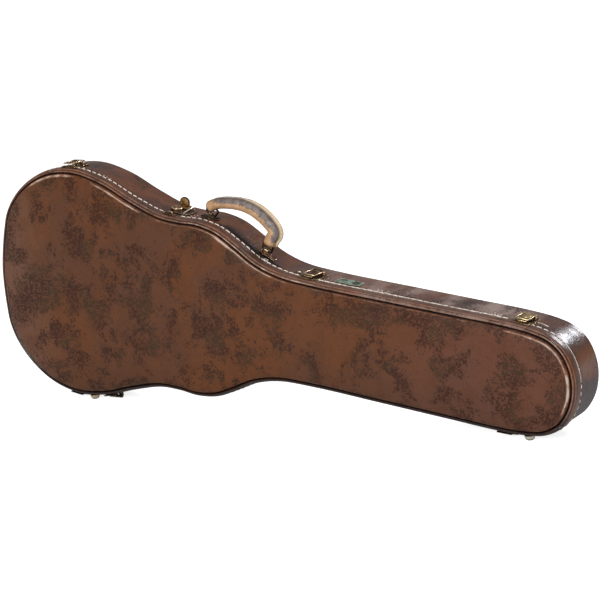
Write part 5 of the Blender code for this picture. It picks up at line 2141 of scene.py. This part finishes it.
@dataclass
class Interior(Assembly):
    """Plush padding, neck support, and accessory box with its lid.

    Sections are pairs of inset from the outline and depth from the middle.

    Args:
        support_u: middle of the neck support along the case, in millimetres.
        box_u: middle of the accessory box.
        floor: depth of the floor.
        lid_pad: the lid's pad from its middle to its back.
        floor_pad: the floor's pad.
        wall_pad: closed section of the wall's padding.
        lining: stretches of the wall's padding, which each have a node.
    """

    support_u: float = 712.0
    box_u: float = 627.0
    floor: float = 32.4
    lid_pad: Section = (
        (38, 31.6), (28, 30.6), (20, 29.8), (15.5, 29.2), (12.6, 29.5), (10.9, 30.9), (10.3, 33.0),
        (10.3, 37.6), (12.0, 39.6), (22, 41.8), (38, 43.4),
    )
    floor_pad: Section = (
        (38, 33.0), (28, 32.9), (21.5, 32.9), (19.0, 33.4), (17.9, 34.6), (17.7, 36.0), (17.8, 39.4),
        (21, 41.2), (38, 43.2),
    )
    wall_pad: Section = (
        (7.2, 33.4), (7.2, 10.0), (7.2, -20.0), (7.9, -21.4), (9.4, -22.0), (12.4, -22.0), (15.0, -21.4),
        (16.5, -19.8), (17.0, -17.0), (17.0, -2.0), (17.0, 14.0), (17.0, 33.4),
    )
    lining: Sequence[str] = (
        "butt", "bout_top", "bout_under", "waist_top", "waist_under", "neck_top", "neck_under", "head",
    )

    def padding(self) -> None:
        """Pads of the lid and the floor, and the padded walls between them."""
        for name, section, side, sag, body in (("lid", self.lid_pad, -1.0, 1.7, Body.LID),
                                               ("floor", self.floor_pad, 1.0, 0.0, Body.BASE)):
            (border, front), (_, back) = section[0], section[-1]

            def face(distance: float, border: float = border, front: float = front,
                     side: float = side, sag: float = sag) -> float:
                """Depth of the pad's face."""
                return side * (front + sag * min(max((distance / MM - border) / 40.0, 0.0), 1.0)) * MM

            pad = RimSweep(self.plan).run(section, side)
            pad.cap(0, face, 40 * MM)
            pad.cap(-1, lambda distance: side * back * MM, 120 * MM)
            self.shop.piece(f"{name}_padding", pad.finished(), body, Slot.LINING, "plush", [f"{name}_pad"], padding=0.5)
        walls = RimSweep(self.plan).run(self.wall_pad)
        self.shop.piece("wall_padding", walls.closed(), Body.BASE, Slot.LINING, "plush",
                        [f"lining_{stretch}" for stretch in self.lining], sharp=60.0, padding=0.6)

    def support(self) -> None:
        """Padded block with a saddle for the neck."""
        bm = bmesh.new()
        width, half, front, radius, centre = 34.0, 65.4, -3.6, 32.2, -17.0
        start_u = self.support_u - width / 2
        reach = math.sqrt(radius ** 2 - (front - centre) ** 2)
        start = bm.verts.new(Vector((start_u, front, -reach)) * MM)
        made = bmesh.ops.spin(bm, geom=[start], cent=Vector((start_u, centre, 0.0)) * MM, axis=(1, 0, 0),
                              angle=-2 * math.asin(reach / radius), steps=18)
        end = made["geom_last"][0]
        corners = ((front, half), (self.floor, half), (self.floor, -half), (front, -half))
        chain = [bm.verts.new(Vector((start_u, y, v)) * MM) for y, v in corners]
        for pair in zip([end] + chain, chain + [start]):
            bm.edges.new(pair)
        bmesh.ops.edgeloop_fill(bm, edges=list(bm.edges))
        made = bmesh.ops.extrude_face_region(bm, geom=list(bm.faces))
        fresh = [g for g in made["geom"] if isinstance(g, Vert)]
        bmesh.ops.translate(bm, vec=Vector((width * MM, 0, 0)), verts=fresh)
        bmesh.ops.recalc_face_normals(bm, faces=bm.faces)
        crisp = [e for e in bm.edges if len(e.link_faces) == 2 and e.calc_face_angle(0.0) > 0.6]
        soften(bm, crisp, 2.4, 3, clamp_overlap=True)
        self.stand(bm)
        self.shop.piece("neck_rest", bm, Body.BASE, Slot.LINING, "plush", ["neck_support"], padding=0.7)

    def well(self) -> None:
        """Plush-covered accessory box, open at its front."""
        size, wall, depth = (132, 24, 129), 4.0, 20.0
        bm = bmesh.new()
        made = bmesh.ops.create_cube(bm, size=1.0)
        bmesh.ops.scale(bm, vec=Vector(size) * MM, verts=made["verts"])
        middle = Vector((self.box_u, self.floor - size[1] / 2, 0))
        bmesh.ops.translate(bm, vec=middle * MM, verts=made["verts"])
        top = [f for f in bm.faces if f.normal.y < -0.9]
        bmesh.ops.inset_region(bm, faces=top, thickness=wall * MM, use_even_offset=True)
        made = bmesh.ops.extrude_face_region(bm, geom=top)
        fresh = [g for g in made["geom"] if isinstance(g, Vert)]
        bmesh.ops.translate(bm, vec=Vector((0, depth * MM, 0)), verts=fresh)
        bmesh.ops.delete(bm, geom=[f for f in top if f.is_valid], context="FACES_ONLY")
        shared = [e for e in bm.edges if len(e.link_faces) == 2]
        soften(bm, [e for e in shared if e.is_convex and e.calc_face_angle(0.0) > 0.6], 1.2, 3)
        self.stand(bm)
        self.shop.piece("accessory_well", bm, Body.BASE, Slot.LINING, "plush", ["accessory_box"])

    def cover(self) -> None:
        """Lid of the accessory box and its leather pull tab."""
        for name, u, y, size, corner, rim, slot, finish, node in (
                ("cover_board", 0.0, 2.3, (132, 129, 4.0), 3.0, 1.2, Slot.LINING, "plush", "lid"),
                ("pull", 51.0, 5.4, (22, 16, 1.6), 5.0, 0.5, Slot.LEATHER, "handle_leather", "tab")):
            place = moved_mm(self.box_u + u, self.floor - 24.0 - y, 0)
            lying = self.plan.matrix @ place @ Matrix.Rotation(-QUARTER, 4, "X")
            bm = local_mesh(lambda bm: slab(bm, size, (0, 0, 0), corner, rim), lying)
            self.shop.piece("accessory_" + name, bm, Body.BOX_LID, slot, finish, ["accessory_" + node])

    def build(self) -> None:
        """Makes the inside."""
        self.padding()
        self.support()
        self.well()
        self.cover()


# --- the studio

@dataclass(frozen=True)
class Lamp:
    """Rectangular softbox aimed at a point.

    Args:
        name: its name.
        place: where it hangs.
        target: what it is aimed at.
        size: its width and height.
        energy: its power, in watts.
        colour: its colour.
    """

    name: str
    place: Triple
    target: Triple
    size: tuple[float, float]
    energy: float
    colour: Colour

    def build(self) -> None:
        """Hangs it."""
        data = bpy.data.lights.new(self.name, "AREA")
        data.shape = "RECTANGLE"
        data.size, data.size_y = self.size
        data.energy = self.energy
        data.color = self.colour
        obj = bpy.data.objects.new(self.name, data)
        obj.location = self.place
        aim = Vector(self.target) - Vector(self.place)
        obj.rotation_euler = aim.to_track_quat("-Z", "Y").to_euler()
        bpy.context.scene.collection.objects.link(obj)


@dataclass
class Studio:
    """Floor, lamps and camera.

    Args:
        effects: node groups that finishes share.
        azimuth: the camera's direction round the case, in degrees.
        elevation: its height above the middle, in degrees.
        roll: its turn about its own line of sight, in degrees.
        place: where it stands.
        lens: focal length for the frame, in millimetres.
        frame: width of the frame, in millimetres.
        ambient: strength of the surroundings' light.
        lamps: the softboxes.
    """

    effects: Effects
    azimuth: float = 35.395
    elevation: float = 13.255
    roll: float = -6.103
    place: Triple = (1.81125, -2.47974, 0.90005)
    lens: float = 120.0
    frame: float = 36.0
    ambient: float = 0.24
    lamps: Sequence[Lamp] = (
        Lamp("front", (0.7, -3.6, 2.0), (0.0, 0.0, 0.2), (2.0, 1.6), 124.0, (1.0, 0.985, 0.96)),
        Lamp("overhead", (-0.2, 0.3, 2.7), (0.0, 0.0, 0.1), (2.2, 1.4), 9.0, (1.0, 0.99, 0.97)),
        Lamp("rear", (1.15, 2.2, 1.85), (0.3, 0.0, 0.2), (0.75, 0.8), 56.0, (0.91, 0.93, 1.0)),
    )

    def camera(self) -> None:
        """Camera at the photograph's viewing angle."""
        az, el, roll = (math.radians(a) for a in (self.azimuth, self.elevation, self.roll))
        back = Vector((math.sin(az) * math.cos(el), -math.cos(az) * math.cos(el), math.sin(el)))
        right = (-back).cross(Vector((0, 0, 1))).normalized()
        up = right.cross(-back)
        data = bpy.data.cameras.new("camera")
        data.lens, data.sensor_width = self.lens, self.frame
        data.clip_end = 100.0
        obj = bpy.data.objects.new("camera", data)
        turned = (right * math.cos(roll) + up * math.sin(roll), up * math.cos(roll) - right * math.sin(roll))
        obj.matrix_world = axes_frame(*turned, back, Vector(self.place))
        bpy.context.scene.collection.objects.link(obj)
        bpy.context.scene.camera = obj

    def floor(self) -> None:
        """Wide pale floor that keeps the case's shadow."""
        bm = bmesh.new()
        bmesh.ops.create_grid(bm, x_segments=1, y_segments=1, size=40.0)
        mesh = bpy.data.meshes.new("floor")
        bm.to_mesh(mesh)
        bm.free()
        mesh.materials.append(StudioWhite("floor_white").build(self.effects))
        obj = bpy.data.objects.new("floor", mesh)
        bpy.context.scene.collection.objects.link(obj)

    def world(self) -> None:
        """White surroundings, dimmer as a light than as the camera sees them."""
        world = bpy.data.worlds.new("studio")
        bpy.context.scene.world = world
        world.use_nodes = True
        g = Graph(world.node_tree)
        back = world.node_tree.nodes["Background"].inputs
        path = g.add("LightPath").outputs
        seen = g.math("MAXIMUM", path["Is Camera Ray"], path["Is Transmission Ray"])
        g.feed(back["Color"], (1.0, 1.0, 1.0))
        g.feed(back["Strength"], g.line(seen, 1.0 - self.ambient, self.ambient))

    def build(self) -> None:
        """Sets the studio up."""
        self.camera()
        self.floor()
        self.world()
        for lamp in self.lamps:
            lamp.build()
        bpy.context.scene.view_settings.view_transform = "Standard"


def finishes() -> list[Finish]:
    """Every finish of the case."""
    return [
        Leatherette("panel_covering", amount=0.62, grey_reflection=0.9),
        Leatherette("wall_covering", base=(0.122, 0.043, 0.020), cool=(0.062, 0.034, 0.030), amount=0.45,
                    gloss=0.22, shine=0.42, streak=0.30, dust=0.95, head_light_bands=0.9),
        Leatherette("band_covering", base=(0.125, 0.047, 0.025), cool=(0.088, 0.042, 0.031), amount=0.2,
                    gloss=0.30, shine=0.36, streak=0.25, dust=0.2, ribs=0.55),
        Brass("brass_lever", amount=0.66, bright=(0.80, 0.62, 0.36), dark=(0.13, 0.085, 0.04)),
        Brass("brass_plate", amount=0.84, bright=(0.74, 0.54, 0.30), dark=(0.085, 0.045, 0.024)),
        Brass("brass_red", amount=0.92, bright=(0.80, 0.60, 0.38), dark=(0.075, 0.028, 0.016)),
        Brass("brass_lock", amount=0.88, bright=(0.90, 0.82, 0.66), dark=(0.095, 0.052, 0.030)),
        Brass("brass_flap", amount=0.70, bright=(0.80, 0.52, 0.22), dark=(0.30, 0.17, 0.06)),
        Brass("brass_dark", amount=1.05, bright=(0.50, 0.36, 0.20), dark=(0.040, 0.026, 0.020)),
        # Hinge brass darkened to read as the shade under the case: painted shade.
        Brass("brass_hinge_shadow_dark", amount=1.05, bright=(0.17, 0.12, 0.08), dark=(0.022, 0.015, 0.012)),
        Brass("brass_foot", amount=0.22, bright=(0.95, 0.74, 0.50)),
        Brass("pale_foot", amount=0.22, bright=(0.95, 0.90, 0.78)),
        HandleLeather("handle_leather"),
        Plush("plush"),
        Thread("thread"),
        PaintedEdge("painted_edge"),
        AgedLabel("aged_label"),
    ]


def main() -> None:
    """Loads the frame and builds the case on it."""
    logging.basicConfig(level=logging.INFO, format="%(message)s")
    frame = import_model()
    joints = {joint["name"]: joint for joint in frame["joints"]}
    effects = Effects()
    plan, shop = CasePlan(), Workshop({finish.name: finish.build(effects) for finish in finishes()})
    Studio(effects).build()
    Shells(plan, shop).build()
    Stitching(plan, shop).build()
    for key, body, u, lever in (("butt", Body.BUTT_LEVER, 0.144, "brass_red"),
                                ("neck", Body.NECK_LEVER, 0.617, "brass_red"),
                                ("head", Body.HEAD_LEVER, 0.984, "brass_lever")):
        Latch(plan, shop, key, body, u, joint_frame(joints[f"{key}_latch"], -1.0), lever).build()
    LockLatch(plan, shop, 0.352, joint_frame(joints["lock_flap_hinge"], 1.0)).build()
    for assembly in (Handle, Hinges, SmallParts, Interior):
        assembly(plan, shop).build()


if __name__ == "__main__":
    main()
